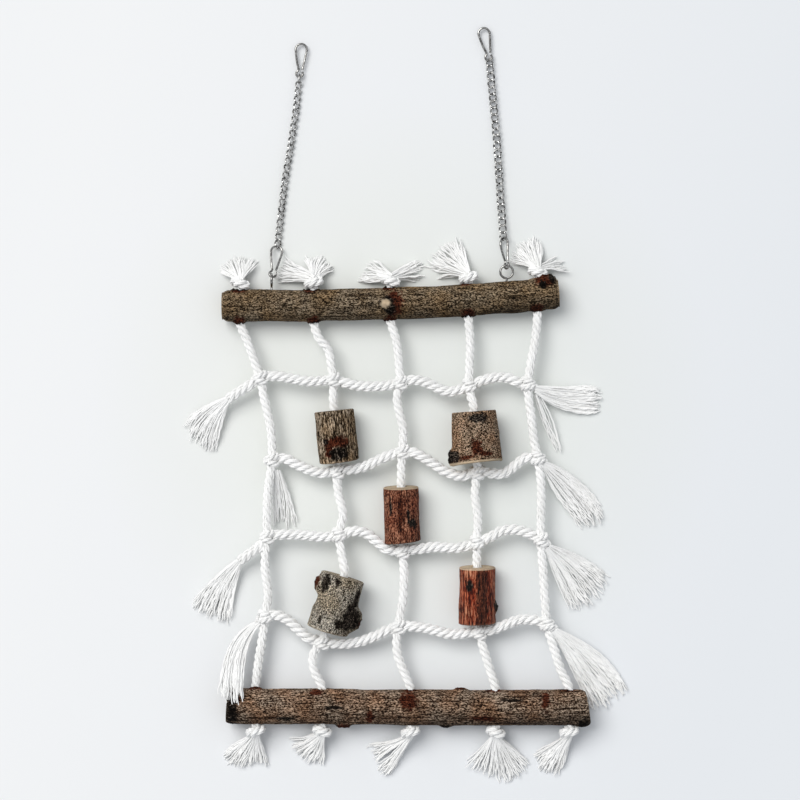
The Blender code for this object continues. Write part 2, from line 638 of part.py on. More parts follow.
def add_hook(name, frame, body, parent, pivot, axis):
    make_body(body, pivot, parent, axis)
    outline = [CATCH]
    for k in range(BOW_STEPS + 1):
        angle = pi * k / BOW_STEPS
        outline.append((HOOK_BOW_RADIUS * cos(angle), HOOK_BOW_CENTRE + HOOK_BOW_RADIUS * sin(angle)))
    outline.append((-HOOK_THROAT, HOOK_EYE_RADIUS + HOOK_WIRE_RADIUS))
    for k in range(HOOK_EYE_STEPS + 1):
        angle = HOOK_EYE_START + (HOOK_EYE_END - HOOK_EYE_START) * k / HOOK_EYE_STEPS
        outline.append((HOOK_EYE_RADIUS * cos(angle), HOOK_EYE_RADIUS * sin(angle)))
    wire = wire_mesh([on_hook(frame, *point) for point in outline], HOOK_WIRE_RADIUS)
    add_piece(name, wire, STEEL, body)
    gate_body = name + "_gate_swing"
    make_body(gate_body, on_hook(frame, *GATE_PIVOT), body, frame[3])
    rise = Vector((CATCH[0] - GATE_PIVOT[0], CATCH[1] - GATE_PIVOT[1]))
    tip = Vector(GATE_PIVOT) + rise * (1 - (GATE_GAP / 2) / rise.length)
    gate = wire_mesh([on_hook(frame, *GATE_PIVOT), on_hook(frame, *tip)], HOOK_WIRE_RADIUS)
    add_piece(name + "_gate", gate, STEEL, gate_body)


# Chains: twisted oval links, in segments that hinge on each other
LINK_HALF_LENGTH = LINK_INNER_LENGTH / 2 + LINK_WIRE_RADIUS
LINK_HALF_WIDTH = LINK_INNER_WIDTH / 2 + LINK_WIRE_RADIUS
FUSED_PITCH = LINK_INNER_LENGTH + LINK_FUSE


def direction_at(heading, dip):
    return Vector((sin(heading) * cos(dip), cos(heading) * cos(dip), -sin(dip)))


def bow_axis(direction, turn):
    """Line of a link's end wire, square to the chain and turned about it."""
    level = direction.cross(Vector((0, 0, 1))).normalized()
    return level * cos(turn) + level.cross(direction) * sin(turn)


def link_mesh(centre, direction, start_turn, end_turn):
    """One link: its plane turns about the chain from one end to the other."""
    points = []
    for k in range(LINK_POINTS):
        angle = 2 * pi * k / LINK_POINTS
        share = (1 + cos(angle)) / 2
        turn = start_turn + (end_turn - start_turn) * share
        across = bow_axis(direction, turn)
        points.append(direction * LINK_HALF_LENGTH * cos(angle) + across * LINK_HALF_WIDTH * sin(angle))
    work = bmesh.new()
    loops = []
    for k, point in enumerate(points):
        along = (points[(k + 1) % LINK_POINTS] - points[k - 1]).normalized()
        outward = (point - along * point.dot(along)).normalized()
        sideways = along.cross(outward)
        loop = []
        for j in range(LINK_WIRE_SIDES):
            angle = 2 * pi * j / LINK_WIRE_SIDES
            offset = (outward * cos(angle) + sideways * sin(angle)) * LINK_WIRE_RADIUS
            loop.append(work.verts.new(centre + point + offset))
        loops.append(loop)
    for k in range(LINK_POINTS):
        for j in range(LINK_WIRE_SIDES):
            work.faces.new((loops[k - 1][j - 1], loops[k - 1][j], loops[k][j], loops[k][j - 1]))
    bmesh.ops.recalc_face_normals(work, faces=work.faces)
    mesh = bpy.data.meshes.new("link")
    work.to_mesh(mesh)
    work.free()
    return mesh


def join_meshes(meshes):
    work = bmesh.new()
    for mesh in meshes:
        work.from_mesh(mesh)
    joined = bpy.data.meshes.new("joined")
    work.to_mesh(joined)
    work.free()
    return joined


for side in EYES_X:
    centre = eye_centre(side)
    roll = HOOK_ROLLS[side]
    heading = HOOK_HEADINGS[side]
    reach = EYE_SEAT + BOW_TOP
    if roll == 0:
        # The hook's eye slides round the edge-on ring, so it turns about the ring's centre
        pivot = centre
        slope = asin((centre.z - CHAIN_HEIGHT) / (EYE_RING_RADIUS + reach))
        rim = EYE_RING_RADIUS + EYE_SEAT
        origin = centre + direction_at(heading, slope) * rim
    else:
        # The hook's eye hangs round the flat ring's far side, clear of its wire as it lifts
        pivot = centre + Vector((0, EYE_RING_RADIUS, 0))
        slope = RIGHT_HOOK_SLOPE
        origin = pivot
    frame = hook_frame(origin, heading, slope, roll)
    lower_body = f"lower_hook_{side}_lift"
    add_hook(f"lower_hook_{side}", frame, lower_body, "top_band", pivot, (1, 0, 0))

    # The first link's start stands square to the hook's bow
    start_turn = roll - pi / 2
    end_turn = start_turn + pi / 2
    end = on_hook(frame, 0, BOW_TOP)
    end_axis = frame[1]
    parent = lower_body
    last = len(CHAIN_LINKS[side]) - 1
    for segment, count in enumerate(CHAIN_LINKS[side]):
        dip = asin(max(0.0, end.z - CHAIN_HEIGHT) / (FUSED_PITCH * count))
        direction = direction_at(CHAIN_HEADINGS[side][segment], dip)
        start = end - direction * (LINK_SEAT if segment == 0 else 2 * LINK_WIRE_RADIUS + GAP)
        # Segments turn by turns about the wire they hang on and about their own first wire
        pivot, axis = end, end_axis
        if segment % 2:
            pivot, axis = start, bow_axis(direction, start_turn)
            axis = axis if axis.z > 0 else -axis
        links = []
        for index in range(count):
            final_turn = end_turn
            if segment == last and index == count - 1:
                final_turn = pi / 2 if end_turn > 0 else -pi / 2
            middle = start + direction * (LINK_HALF_LENGTH + FUSED_PITCH * index)
            links.append(link_mesh(middle, direction, start_turn, final_turn))
        body = f"chain_{side}_{segment + 1}_swing"
        make_body(body, pivot, parent, axis)
        mesh = combine(join_meshes(links[0::2]), [join_meshes(links[1::2])], "UNION")
        add_piece(f"chain_{side}_{segment + 1}", mesh, STEEL, body)
        end = start + direction * (2 * LINK_HALF_LENGTH + FUSED_PITCH * (count - 1))
        end_axis = bow_axis(direction, final_turn)
        parent = body

    # The upper hook's small eye holds the last link's end
    heading = UPPER_HOOK_HEADINGS[side]
    origin = end - direction * LINK_SEAT + direction_at(heading, 0) * HOOK_EYE_RADIUS
    frame = hook_frame(origin, heading, 0, 0)
    end_axis = end_axis if end_axis.z > 0 else -end_axis
    add_hook(f"upper_hook_{side}", frame, f"upper_hook_{side}_swing", parent, end, end_axis)


# The whole is moved so that its box stands on the surface, centred over the origin
bpy.context.view_layer.update()
pieces = [piece for piece in parts.objects if piece.type == "MESH"]
corners = [piece.matrix_world @ v.co for piece in pieces for v in piece.data.vertices]
low = Vector(min(corner[i] for corner in corners) for i in range(3))
high = Vector(max(corner[i] for corner in corners) for i in range(3))
bpy.data.objects["top_band"].location -= Vector(((low.x + high.x) / 2, (low.y + high.y) / 2, low.z))
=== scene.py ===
# Rope climbing net for small pets, laid flat on a pale table and seen from straight above.
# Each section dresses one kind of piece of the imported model, in the order the net is put together.
import json
import random
from math import asin, atan, atan2, cos, pi, radians, sin, tan

import bpy
import numpy as np
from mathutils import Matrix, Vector, noise


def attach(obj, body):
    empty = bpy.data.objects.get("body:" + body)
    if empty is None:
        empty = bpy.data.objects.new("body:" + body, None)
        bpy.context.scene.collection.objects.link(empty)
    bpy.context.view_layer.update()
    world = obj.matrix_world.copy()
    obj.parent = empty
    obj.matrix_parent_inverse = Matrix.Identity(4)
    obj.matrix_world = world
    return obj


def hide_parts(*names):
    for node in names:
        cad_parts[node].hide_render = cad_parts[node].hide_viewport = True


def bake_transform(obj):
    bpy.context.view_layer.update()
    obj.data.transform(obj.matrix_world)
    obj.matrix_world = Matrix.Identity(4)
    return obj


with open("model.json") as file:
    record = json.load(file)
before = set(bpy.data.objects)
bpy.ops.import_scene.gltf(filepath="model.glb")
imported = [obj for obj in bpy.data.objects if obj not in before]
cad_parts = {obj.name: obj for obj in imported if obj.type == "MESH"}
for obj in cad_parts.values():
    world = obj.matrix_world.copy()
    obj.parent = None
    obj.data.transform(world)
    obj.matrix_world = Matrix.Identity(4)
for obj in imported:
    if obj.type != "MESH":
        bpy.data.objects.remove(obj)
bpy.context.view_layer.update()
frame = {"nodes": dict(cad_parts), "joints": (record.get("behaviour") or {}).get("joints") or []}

# Places in the layout, marks and loose yarns are in millimetres, all other sizes in metres
MM = 0.001
for node in frame["nodes"].values():
    node.select_set(False)


# The table and the light: a matt white board under a wide soft window from the upper left, and a
# camera that hangs straight above the net. The layout's own zero lies on the first fold line.
fold = next(joint for joint in frame["joints"] if joint["name"] == "row_1_fold")["pos_m"]
LAYOUT = Vector(fold) - Vector((0, 0.016, 0.0135))
CAMERA_HEIGHT = 2.4
PICTURE_WIDTH = 0.56
PICTURE_CENTRE = (-3.5, 3.5)


def at(x, y, z):
    """Point of the layout, in millimetres, in the frame's metres."""
    return LAYOUT + Vector((x, y, z)) * MM


def add_node(tree, kind, **values):
    """A shader node with its inputs set by name: each may be a socket or a plain value."""
    node = tree.nodes.new(kind)
    for name, value in values.items():
        socket = node.inputs[name.replace("_", " ")]
        if isinstance(value, bpy.types.NodeSocket):
            tree.links.new(value, socket)
        else:
            socket.default_value = value
    return node


def add_ramp(tree, fac, stops):
    """A colour ramp over a value, from pairs of place and grey level or colour."""
    ramp = tree.nodes.new("ShaderNodeValToRGB")
    while len(ramp.color_ramp.elements) < len(stops):
        ramp.color_ramp.elements.new(0.5)
    for element, (place, tone) in zip(ramp.color_ramp.elements, stops):
        element.position = place
        element.color = (*tone, 1) if isinstance(tone, tuple) else (tone, tone, tone, 1)
    tree.links.new(fac, ramp.inputs["Fac"])
    return ramp.outputs["Color"]


def add_mix(tree, fac, first, second, blend="MIX"):
    """A colour mix: each of the three may be a socket or a plain value."""
    mix = tree.nodes.new("ShaderNodeMix")
    mix.data_type = "RGBA"
    mix.blend_type = blend
    for socket, value in ((mix.inputs[0], fac), (mix.inputs[6], first), (mix.inputs[7], second)):
        if isinstance(value, bpy.types.NodeSocket):
            tree.links.new(value, socket)
        else:
            socket.default_value = (*value, 1) if isinstance(value, tuple) else value
    return mix.outputs[2]


def make_paint(name, **values):
    """A material with plain shader values set by name: gives it, its node tree and its shader."""
    material = bpy.data.materials.new(name)
    material.use_nodes = True
    shader = material.node_tree.nodes["Principled BSDF"]
    for key, value in values.items():
        shader.inputs[key.replace("_", " ")].default_value = value
    return material, material.node_tree, shader


bpy.ops.object.camera_add(location=at(*PICTURE_CENTRE, 13.5) + Vector((0, 0, CAMERA_HEIGHT)))
camera = bpy.context.object
camera.data.sensor_width = 36
camera.data.sensor_height = 36
camera.data.sensor_fit = "HORIZONTAL"
camera.data.angle = 2 * atan(PICTURE_WIDTH / 2 / CAMERA_HEIGHT)
camera.data.clip_start = 0.01
bpy.context.scene.camera = camera
bpy.context.scene.view_settings.view_transform = "Standard"

bpy.ops.object.light_add(type="SUN", rotation=(radians(-24), radians(-26), 0))
window = bpy.context.object
window.data.energy = 2.0
window.data.angle = radians(38)
window.data.color = (1.0, 0.985, 0.96)

world = bpy.data.worlds.new("room")
bpy.context.scene.world = world
world.use_nodes = True
room = world.node_tree
room_light = room.nodes["Background"]
room_light.inputs["Strength"].default_value = 0.6
room_coords = room.nodes.new("ShaderNodeTexCoord")
room_split = add_node(room, "ShaderNodeSeparateXYZ", Vector=room_coords.outputs["Generated"])
room_tone = add_ramp(room, room_split.outputs["Z"], [(0.05, (0.42, 0.44, 0.46)), (0.75, (1.0, 1.02, 1.05))])
room.links.new(room_tone, room_light.inputs["Color"])

bpy.ops.object.select_all(action="DESELECT")
bpy.ops.mesh.primitive_plane_add(size=8, location=(0, 0, 0))
table = bpy.context.object
table.name = "table"
table_paint, paint, board = make_paint("matt_white_board", Roughness=0.85, Specular_IOR_Level=0.2)
board_place = paint.nodes.new("ShaderNodeTexCoord").outputs["Object"]
# Painted light: the board is painted lighter at the left and darker and a little bluer to the right, as the
# window's light falls off across it
light_falloff_place = add_node(
    paint, "ShaderNodeMapping", Vector=board_place,
    Location=(0.5, 0, 0), Rotation=(0, 0, radians(14)), Scale=(1.5, 1.5, 1.5),
)
light_falloff = add_node(paint, "ShaderNodeTexGradient", Vector=light_falloff_place.outputs["Vector"])
light_falloff_tone = add_ramp(paint, light_falloff.outputs["Fac"], [(0.1, (0.85, 0.86, 0.87)), (0.9, (0.75, 0.775, 0.805))])
# Painted shade: the board is painted a little darker and warmer under the middle of the net
net_shade_place = add_node(paint, "ShaderNodeMapping", Vector=board_place, Scale=(4.5, 4.5, 4.5))
net_shade_spot = add_node(paint, "ShaderNodeTexGradient", Vector=net_shade_place.outputs["Vector"])
net_shade_spot.gradient_type = "SPHERICAL"
net_shade_tone = add_ramp(paint, net_shade_spot.outputs["Fac"], [(0.0, 1.0), (0.55, (0.965, 0.97, 0.92))])
board_tone = add_mix(paint, 1.0, light_falloff_tone, net_shade_tone, "MULTIPLY")
paint.links.new(board_tone, board.inputs["Base Color"])
table.data.materials.append(table_paint)


# Ropes: white cotton, three strands laid to the left, each of five loose yarns. The five vertical
# ropes run through both perches and end in a knot and a fan of loose yarns.
STRANDS = 3
YARNS = 5
# A rope's radius over a strand's, a yarn's share of its strand, and how far the yarn swells
STRAND_FIT = 2.1547
YARN_SHARE = 0.37
YARN_SWELL = 1.18
RING_STEPS = 40
LAY_LENGTH = 0.0155
YARN_LAY = 0.034
YARN_DRIFT = 0.00012
DRIFT_LENGTH = 0.004
ROUTE_STEP = 0.0015
# Loose yarns: radius, half width of their root, steps and crimps, and the pile they lie in
FRAY_RADIUS = 0.00048
FRAY_ROOT = 2.2
FRAY_STEP = 2.2
FRAY_CRIMP = 1.3
FRAY_REST = 0.9
FRAY_PILE = 3.4
CLUMP = 5
TOP_HEIGHT = 11.9
NET_HEIGHT = 13.5
BOTTOM_HEIGHT = 13.2
ROPE_RADIUS = 0.0033
CROSS_RADIUS = 0.0039
shuffle = random.Random(7)


def smooth_route(points, step=ROUTE_STEP):
    """Points about a step apart on a smooth curve through the given points."""
    rows = [Vector(p) for p in points]
    padded = [2 * rows[0] - rows[1]] + rows + [2 * rows[-1] - rows[-2]]
    route = []
    for a, b, c, d in zip(padded, padded[1:], padded[2:], padded[3:]):
        count = max(1, round((c - b).length / step))
        for k in range(count):
            t = k / count
            route.append(
                0.5 * (2 * b + (c - a) * t + (2 * a - 5 * b + 4 * c - d) * t ** 2
                       + (3 * b - a - 3 * c + d) * t ** 3)
            )
    return np.array(route + [rows[-1]])


def lay_rope(route, radius):
    """Yarn routes of a laid rope, each point's thickness as a share of a yarn's, and a yarn's radius."""
    along = np.gradient(route, axis=0)
    along /= np.linalg.norm(along, axis=1)[:, None]
    side = np.cross(along, (0, 0, 1))
    side /= np.linalg.norm(side, axis=1)[:, None]
    upward = np.cross(side, along)
    run = np.concatenate(([0], np.cumsum(np.linalg.norm(np.diff(route, axis=0), axis=1))))
    strand = radius / STRAND_FIT
    yarn = strand * YARN_SHARE
    yarns = []
    for j in range(STRANDS):
        turn = 2 * pi * (run / LAY_LENGTH + j / STRANDS)
        for k in range(YARNS):
            spin = 2 * pi * k / YARNS - 2 * pi * run / YARN_LAY + j
            drift = YARN_DRIFT * np.sin(run / DRIFT_LENGTH + 7 * j + 3 * k)
            across = (radius - strand) * np.cos(turn) + (strand - yarn) * np.cos(spin) + drift
            height = (radius - strand) * np.sin(turn) + (strand - yarn) * np.sin(spin)
            yarns.append((route + side * across[:, None] + upward * height[:, None], np.ones(len(run))))
    return yarns, yarn * YARN_SWELL


def wind_ring(centre, normal, major, radius):
    """Yarn routes of one turn of rope wound round an axis, as in a knot."""
    normal = Vector(normal).normalized()
    outward = Vector((0, 0, -1))
    outward = (outward - normal * outward.dot(normal)).normalized()
    sideways = normal.cross(outward)
    strand = radius / STRAND_FIT
    yarn = strand * YARN_SHARE
    yarns = []
    for j in range(STRANDS):
        for k in range(YARNS):
            points = []
            for i in range(RING_STEPS + 1):
                angle = 2 * pi * i / RING_STEPS
                spoke = outward * cos(angle) + sideways * sin(angle)
                turn = 2 * angle + 2 * pi * j / STRANDS
                spin = 2 * pi * k / YARNS - angle
                far = (radius - strand) * cos(turn) + (strand - yarn) * cos(spin)
                side = (radius - strand) * sin(turn) + (strand - yarn) * sin(spin)
                points.append(Vector(centre) + spoke * (major + far) + normal * side)
            yarns.append((np.array(points), np.ones(RING_STEPS + 1)))
    return yarns, yarn * YARN_SWELL


def bend_curve(name, routes, radius, roundness, closed=False):
    """A curve of round yarns or wires, from routes with the thickness at each of their points."""
    curve = bpy.data.curves.new(name, "CURVE")
    curve.dimensions = "3D"
    curve.bevel_depth = radius
    curve.bevel_resolution = roundness
    curve.use_fill_caps = True
    for route, thickness in routes:
        spline = curve.splines.new("POLY")
        spline.points.add(len(route) - 1)
        spline.use_cyclic_u = closed
        spline.points.foreach_set("co", np.column_stack((route, np.ones(len(route)))).ravel())
        spline.points.foreach_set("radius", thickness)
    piece = bpy.data.objects.new(name, curve)
    bpy.context.scene.collection.objects.link(piece)
    return piece


def yarn_piece(name, bundles):
    """One mesh of many yarns: bundles of routes with their yarn radius."""
    pieces = [bend_curve(name, yarns, radius, 1) for yarns, radius in bundles]
    bpy.ops.object.select_all(action="DESELECT")
    for piece in pieces:
        piece.select_set(True)
    bpy.context.view_layer.objects.active = pieces[0]
    bpy.ops.object.convert(target="MESH")
    if len(pieces) > 1:
        bpy.ops.object.join()
    bpy.ops.object.shade_smooth()
    piece = bpy.context.object
    piece.name = name
    piece.data.materials.append(cotton)
    return piece


cotton, weave, fibre = make_paint(
    "white_cotton_yarn", Roughness=0.92, Sheen_Weight=0.25, Sheen_Roughness=0.6, Specular_IOR_Level=0.2,
)
fibre_place = weave.nodes.new("ShaderNodeTexCoord").outputs["Object"]
fibre_tone = add_node(weave, "ShaderNodeTexNoise", Vector=fibre_place, Scale=90, Detail=3)
fibre_hair = add_node(weave, "ShaderNodeTexNoise", Vector=fibre_place, Scale=2600, Detail=2)
fibre_bump = add_node(
    weave, "ShaderNodeBump", Height=fibre_hair.outputs["Fac"], Strength=0.35, Distance=0.0003,
)
fibre_colour = add_ramp(
    weave, fibre_tone.outputs["Fac"], [(0.3, (0.885, 0.885, 0.875)), (0.65, (0.955, 0.955, 0.95))],
)
weave.links.new(fibre_colour, fibre.inputs["Base Color"])
weave.links.new(fibre_bump.outputs["Normal"], fibre.inputs["Normal"])


def fray(root, way, ends, count, belly=0.0, climb=None):
    """Loose yarns of a rope's end, in layout millimetres.

    Each yarn bows towards the way by its share of the length, ends on the line through the given
    ends and settles on the table, or climbs to a height where the tail lies over a perch. A tail
    with a belly spreads soon and then runs straight, or draws in again. Yarns sway in clumps.
    """
    root = Vector(root)
    way = Vector((*way, 0))
    ends = [Vector((*end, 0)) for end in ends]
    middle = sum(ends, Vector()) / len(ends)
    spread = (ends[-1] - ends[0]).normalized()
    middle_way = middle - Vector((root.x, root.y, 0))
    yarns = []
    for k in range(count):
        share = min(max((k + shuffle.uniform(0.1, 0.9)) / count + shuffle.gauss(0, 0.05), 0), 1)
        piece = min(int(share * (len(ends) - 1)), len(ends) - 2)
        end = ends[piece].lerp(ends[piece + 1], share * (len(ends) - 1) - piece)
        aside = end - middle + Vector((shuffle.gauss(0, 0.8), shuffle.gauss(0, 0.8), 0))
        start = spread * (2 * share - 1) * FRAY_ROOT
        height = root.z + shuffle.uniform(-FRAY_ROOT, FRAY_ROOT)
        bow = way * middle_way.length * shuffle.uniform(0.8, 1.2)
        short = 1 + shuffle.uniform(-0.16, 0.03)
        drop = FRAY_REST + FRAY_PILE * shuffle.random() ** 1.6
        if k % CLUMP == 0:
            slow, sway = 2 * pi * shuffle.random(), shuffle.uniform(0.3, 2.2)
        phase, crimp = 2 * pi * shuffle.random(), shuffle.uniform(0.2, 0.5)
        across = Vector((-middle_way.y, middle_way.x, 0)).normalized()
        length = (middle_way + aside).length
        steps = max(8, round(length / FRAY_STEP))
        points = []
        for i in range(steps + 1):
            t = i / steps * short
            point = Vector((root.x, root.y, 0)) + start * (1 - t) + middle_way * t
            point += aside * (t + belly * t * (1 - t))
            point += bow * 2 * t * (1 - t)
            wave = length * t / FRAY_CRIMP + phase
            point += across * (crimp * sin(wave) + sway * sin(4.5 * t + slow)) * t
            if climb:
                point.z = height + (climb + drop - height) * t ** 1.6
            else:
                point.z = drop + (height - drop) * max(0, 1 - t) ** 1.7
                point.z += crimp * cos(wave) * t
            points.append(LAYOUT + point * MM)
        thickness = np.array([1.0] * (steps - 1) + [0.9, 0.6])
        yarns.append((np.array(points), thickness))
    return yarns, FRAY_RADIUS


TOP_AXIS = [(-128, 69.3), (-73.5, 69.7), (-3.5, 71.2), (45.5, 73.5), (107.5, 78.3)]
BOTTOM_AXIS = [(-124.5, -210.8), (-60, -211), (0, -211.6), (60, -211.9), (128, -211.4)]
TOP_BORES = [-115.5, -64, -10.2, 44.4, 92.8]
BOTTOM_BORES = [-104.6, -58.1, 3.8, 63.4, 114.8]
TOP_RADIUS = 11.9
BOTTOM_RADIUS = 13.2
KNOTS = [
    [(-101.5, 18.9), (-50.4, 17.5), (-3.5, 15.4), (45.0, 13.3), (86.1, 14.7)],
    [(-93.1, -38.5), (-47.6, -45.4), (-2.1, -32.9), (50.4, -46.0), (93.1, -37.1)],
    [(-96.6, -92.4), (-46.2, -91.0), (-2.1, -101.4), (50.2, -96.6), (95.2, -94.5)],
    [(-98.0, -148.4), (-58.1, -165.2), (-4.9, -155.4), (51.8, -158.2), (99.4, -153.3)],
]
# Bends of each rope between the top perch, the four rows of knots and the bottom perch
BENDS = [
    [[(-109, 41)], [(-98.5, 4), (-94, -17)], [(-95.9, -59.5), (-96.6, -77)], [(-98, -112), (-95.9, -133)],
     [(-100, -164.5), (-102.9, -182)]],
    [[(-60.5, 47), (-53.5, 38)], None, [(-47.0, -59.5), (-43.4, -77)], None, [(-64.4, -175), (-63.5, -186)]],
    [[(-5.6, 42)], [(-5.6, 3.5), (-1.4, -17.5)], None, [(-0.7, -115.5), (-1.5, -136.5)],
     [(-5.6, -171.5), (-2, -184)]],
    [[(45.6, 42)], None, [(49, -63), (51, -80.5)], None, [(55.3, -171.5), (59.5, -185.5)]],
    [[(91, 45)], [(88.2, -7), (90.3, -24.5)], [(95.2, -56), (95.2, -73.5)], [(96.6, -115.5), (98, -136.5)],
     [(103.6, -168), (108.5, -184)]],
]
# Bore of each log block: rope, band, upper end, lower end and height of its axis
BLOCK_BORES = {
    "block_a": (1, 1, (-49.9, -1.6), (-46.1, -37.7), 14.14),
    "block_b": (3, 1, (48.0, -4.4), (50.6, -39.2), 18.26),
    "block_c": (2, 2, (-2.7, -57.3), (-1.9, -93.9), 13.5),
    "block_d": (1, 3, (-43.1, -119.8), (-53.9, -155.6), 17.56),
    "block_e": (3, 3, (50.4, -113.4), (50.7, -151.7), 13.5),
}
# Fans of the rope ends: the yarns in each, and the line that they reach
TOP_FANS = [
    [(78, [(-130.9, 92.4), (-128.8, 98.7), (-122.5, 103.6), (-116.2, 105.0), (-109.9, 103.6),
           (-104.3, 100.1)])],
    [(38, [(-90.3, 85.4), (-91.7, 91.0), (-88.9, 96.6), (-84.0, 103.6)]),
     (49, [(-70.0, 102.9), (-60.9, 105.7), (-53.9, 101.5), (-50.4, 93.8)])],
    [(44, [(-33.6, 84.7), (-31.5, 89.6), (-27.3, 97.3), (-21.0, 101.5)]),
     (38, [(4.2, 98.7), (9.1, 101.5), (14.7, 97.3), (9.1, 87.5)])],
    [(72, [(24.5, 89.6), (15.4, 98.0), (18.2, 103.6), (24.5, 111.3), (32.2, 116.2), (39.2, 114.8)])],
    [(72, [(74.9, 100.1), (74.9, 107.1), (79.8, 113.4), (85.4, 117.6), (91.7, 117.6), (98.0, 110.6)]),
     (16, [(105.0, 103.6), (112.7, 100.1), (114.8, 94.5)])],
]
BOTTOM_FANS = [
    [(78, [(-129.5, -245.7), (-124.6, -252.7), (-114.1, -255.5), (-107.1, -251.3), (-95.9, -254.1)])],
    [(78, [(-80.5, -235.9), (-77.0, -244.3), (-67.9, -251.3), (-58.8, -253.4)])],
    [(78, [(-25.2, -240.8), (-23.8, -249.2), (-17.5, -257.6), (-11.2, -259.7), (-4.2, -242.9)])],
    [(78, [(42.7, -252.0), (51.8, -258.3), (65.8, -264.6), (75.6, -264.6), (84.0, -257.6), (89.6, -251.3)])],
    [(78, [(91.0, -245.7), (93.1, -254.8), (99.4, -259.0), (107.8, -258.3), (110.6, -251.3)])],
]
# Past each perch the rope is whole for a while, knotted, and loose from the fan's root on
KNOT_START = 3
END_KNOT = 3.9
FAN_ROOT = 6.5
ROPE_END = 7
END_KNOT_TURN = 0.0042
END_KNOT_ROPE = 0.0034
END_KNOT_TILTS = [0.35, -0.3, 0.3, -0.35, 0.25]
FAN_BOW = 0.05
BORE_EASE = 3.4
BAND_NAMES = ["top_band", "row_1_band", "row_2_band", "row_3_band", "bottom_band"]


def axis_at(axis, x):
    """Y of a perch's axis at X."""
    for (x0, y0), (x1, y1) in zip(axis, axis[1:]):
        if x <= x1 or (x1, y1) == axis[-1]:
            return y0 + (y1 - y0) * (x - x0) / (x1 - x0)


for rope in range(5):
    top_x, bottom_x = TOP_BORES[rope], BOTTOM_BORES[rope]
    top_y, bottom_y = axis_at(TOP_AXIS, top_x), axis_at(BOTTOM_AXIS, bottom_x)
    top_edge, bottom_edge = top_y + TOP_RADIUS, bottom_y - BOTTOM_RADIUS
    stops = [(top_x, top_edge + ROPE_END, TOP_HEIGHT), (top_x, top_edge + KNOT_START, TOP_HEIGHT)]
    stops += [(top_x, top_y, TOP_HEIGHT), (top_x, top_y - TOP_RADIUS, TOP_HEIGHT)]
    knot_stops = []
    for band in range(5):
        blocks = [b for b in BLOCK_BORES.values() if b[:2] == (rope, band)]
        if blocks:
            upper, lower, height = blocks[0][2:]
            ease = (Vector(upper) - Vector(lower)).normalized() * BORE_EASE
            stops += [(upper[0] + ease.x, upper[1] + ease.y, height), (*upper, height)]
            stops += [(lower[0] + ease.x, lower[1] + ease.y, height), (*lower, height)]
        else:
            stops += [(x, y, NET_HEIGHT) for x, y in BENDS[rope][band]]
        if band < 4:
            knot_stops.append(len(stops))
            stops.append((*KNOTS[band][rope], NET_HEIGHT))
    stops += [(bottom_x, bottom_y + BOTTOM_RADIUS, BOTTOM_HEIGHT), (bottom_x, bottom_y, BOTTOM_HEIGHT)]
    stops += [(bottom_x, bottom_edge - KNOT_START, BOTTOM_HEIGHT)]
    stops += [(bottom_x, bottom_edge - ROPE_END, BOTTOM_HEIGHT)]
    route = smooth_route([at(*stop) for stop in stops])
    knot_rows = []
    for stop in knot_stops:
        knot = np.array(at(*stops[stop]))
        knot_rows.append(int(np.argmin(np.linalg.norm(route - knot, axis=1))))
    yarns, radius = lay_rope(route, ROPE_RADIUS)
    cuts = [0] + knot_rows + [len(route) - 1]
    names = [f"rope_{rope + 1}_{part}" for part in ("top", "span_2", "span_3", "span_4", "bottom")]
    for band in range(5):
        first, last = cuts[band], cuts[band + 1]
        bundles = [([(way[first:last + 1], thick[first:last + 1]) for way, thick in yarns], radius)]
        tilt = END_KNOT_TILTS[rope]
        if band == 0:
            knot = at(top_x, top_edge + END_KNOT, TOP_HEIGHT)
            bundles.append(wind_ring(knot, (tilt, 1, 0), END_KNOT_TURN, END_KNOT_ROPE))
            root = (top_x, top_edge + FAN_ROOT, TOP_HEIGHT)
            for count, ends in TOP_FANS[rope]:
                bundles.append(fray(root, (0, FAN_BOW), ends, count))
        if band == 4:
            knot = at(bottom_x, bottom_edge - END_KNOT, BOTTOM_HEIGHT)
            bundles.append(wind_ring(knot, (tilt, -1, 0), END_KNOT_TURN, END_KNOT_ROPE))
            root = (bottom_x, bottom_edge - FAN_ROOT, BOTTOM_HEIGHT)
            for count, ends in BOTTOM_FANS[rope]:
                bundles.append(fray(root, (0, -FAN_BOW), ends, count))
        piece = yarn_piece(f"cotton_{names[band]}", bundles)
        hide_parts(names[band])
        if band < 4:
            knot = Vector(route[last])
            blocks = [b for b in BLOCK_BORES.values() if b[:2] == (rope, band)]
            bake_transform(piece)
        else:
            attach(piece, BAND_NAMES[band])


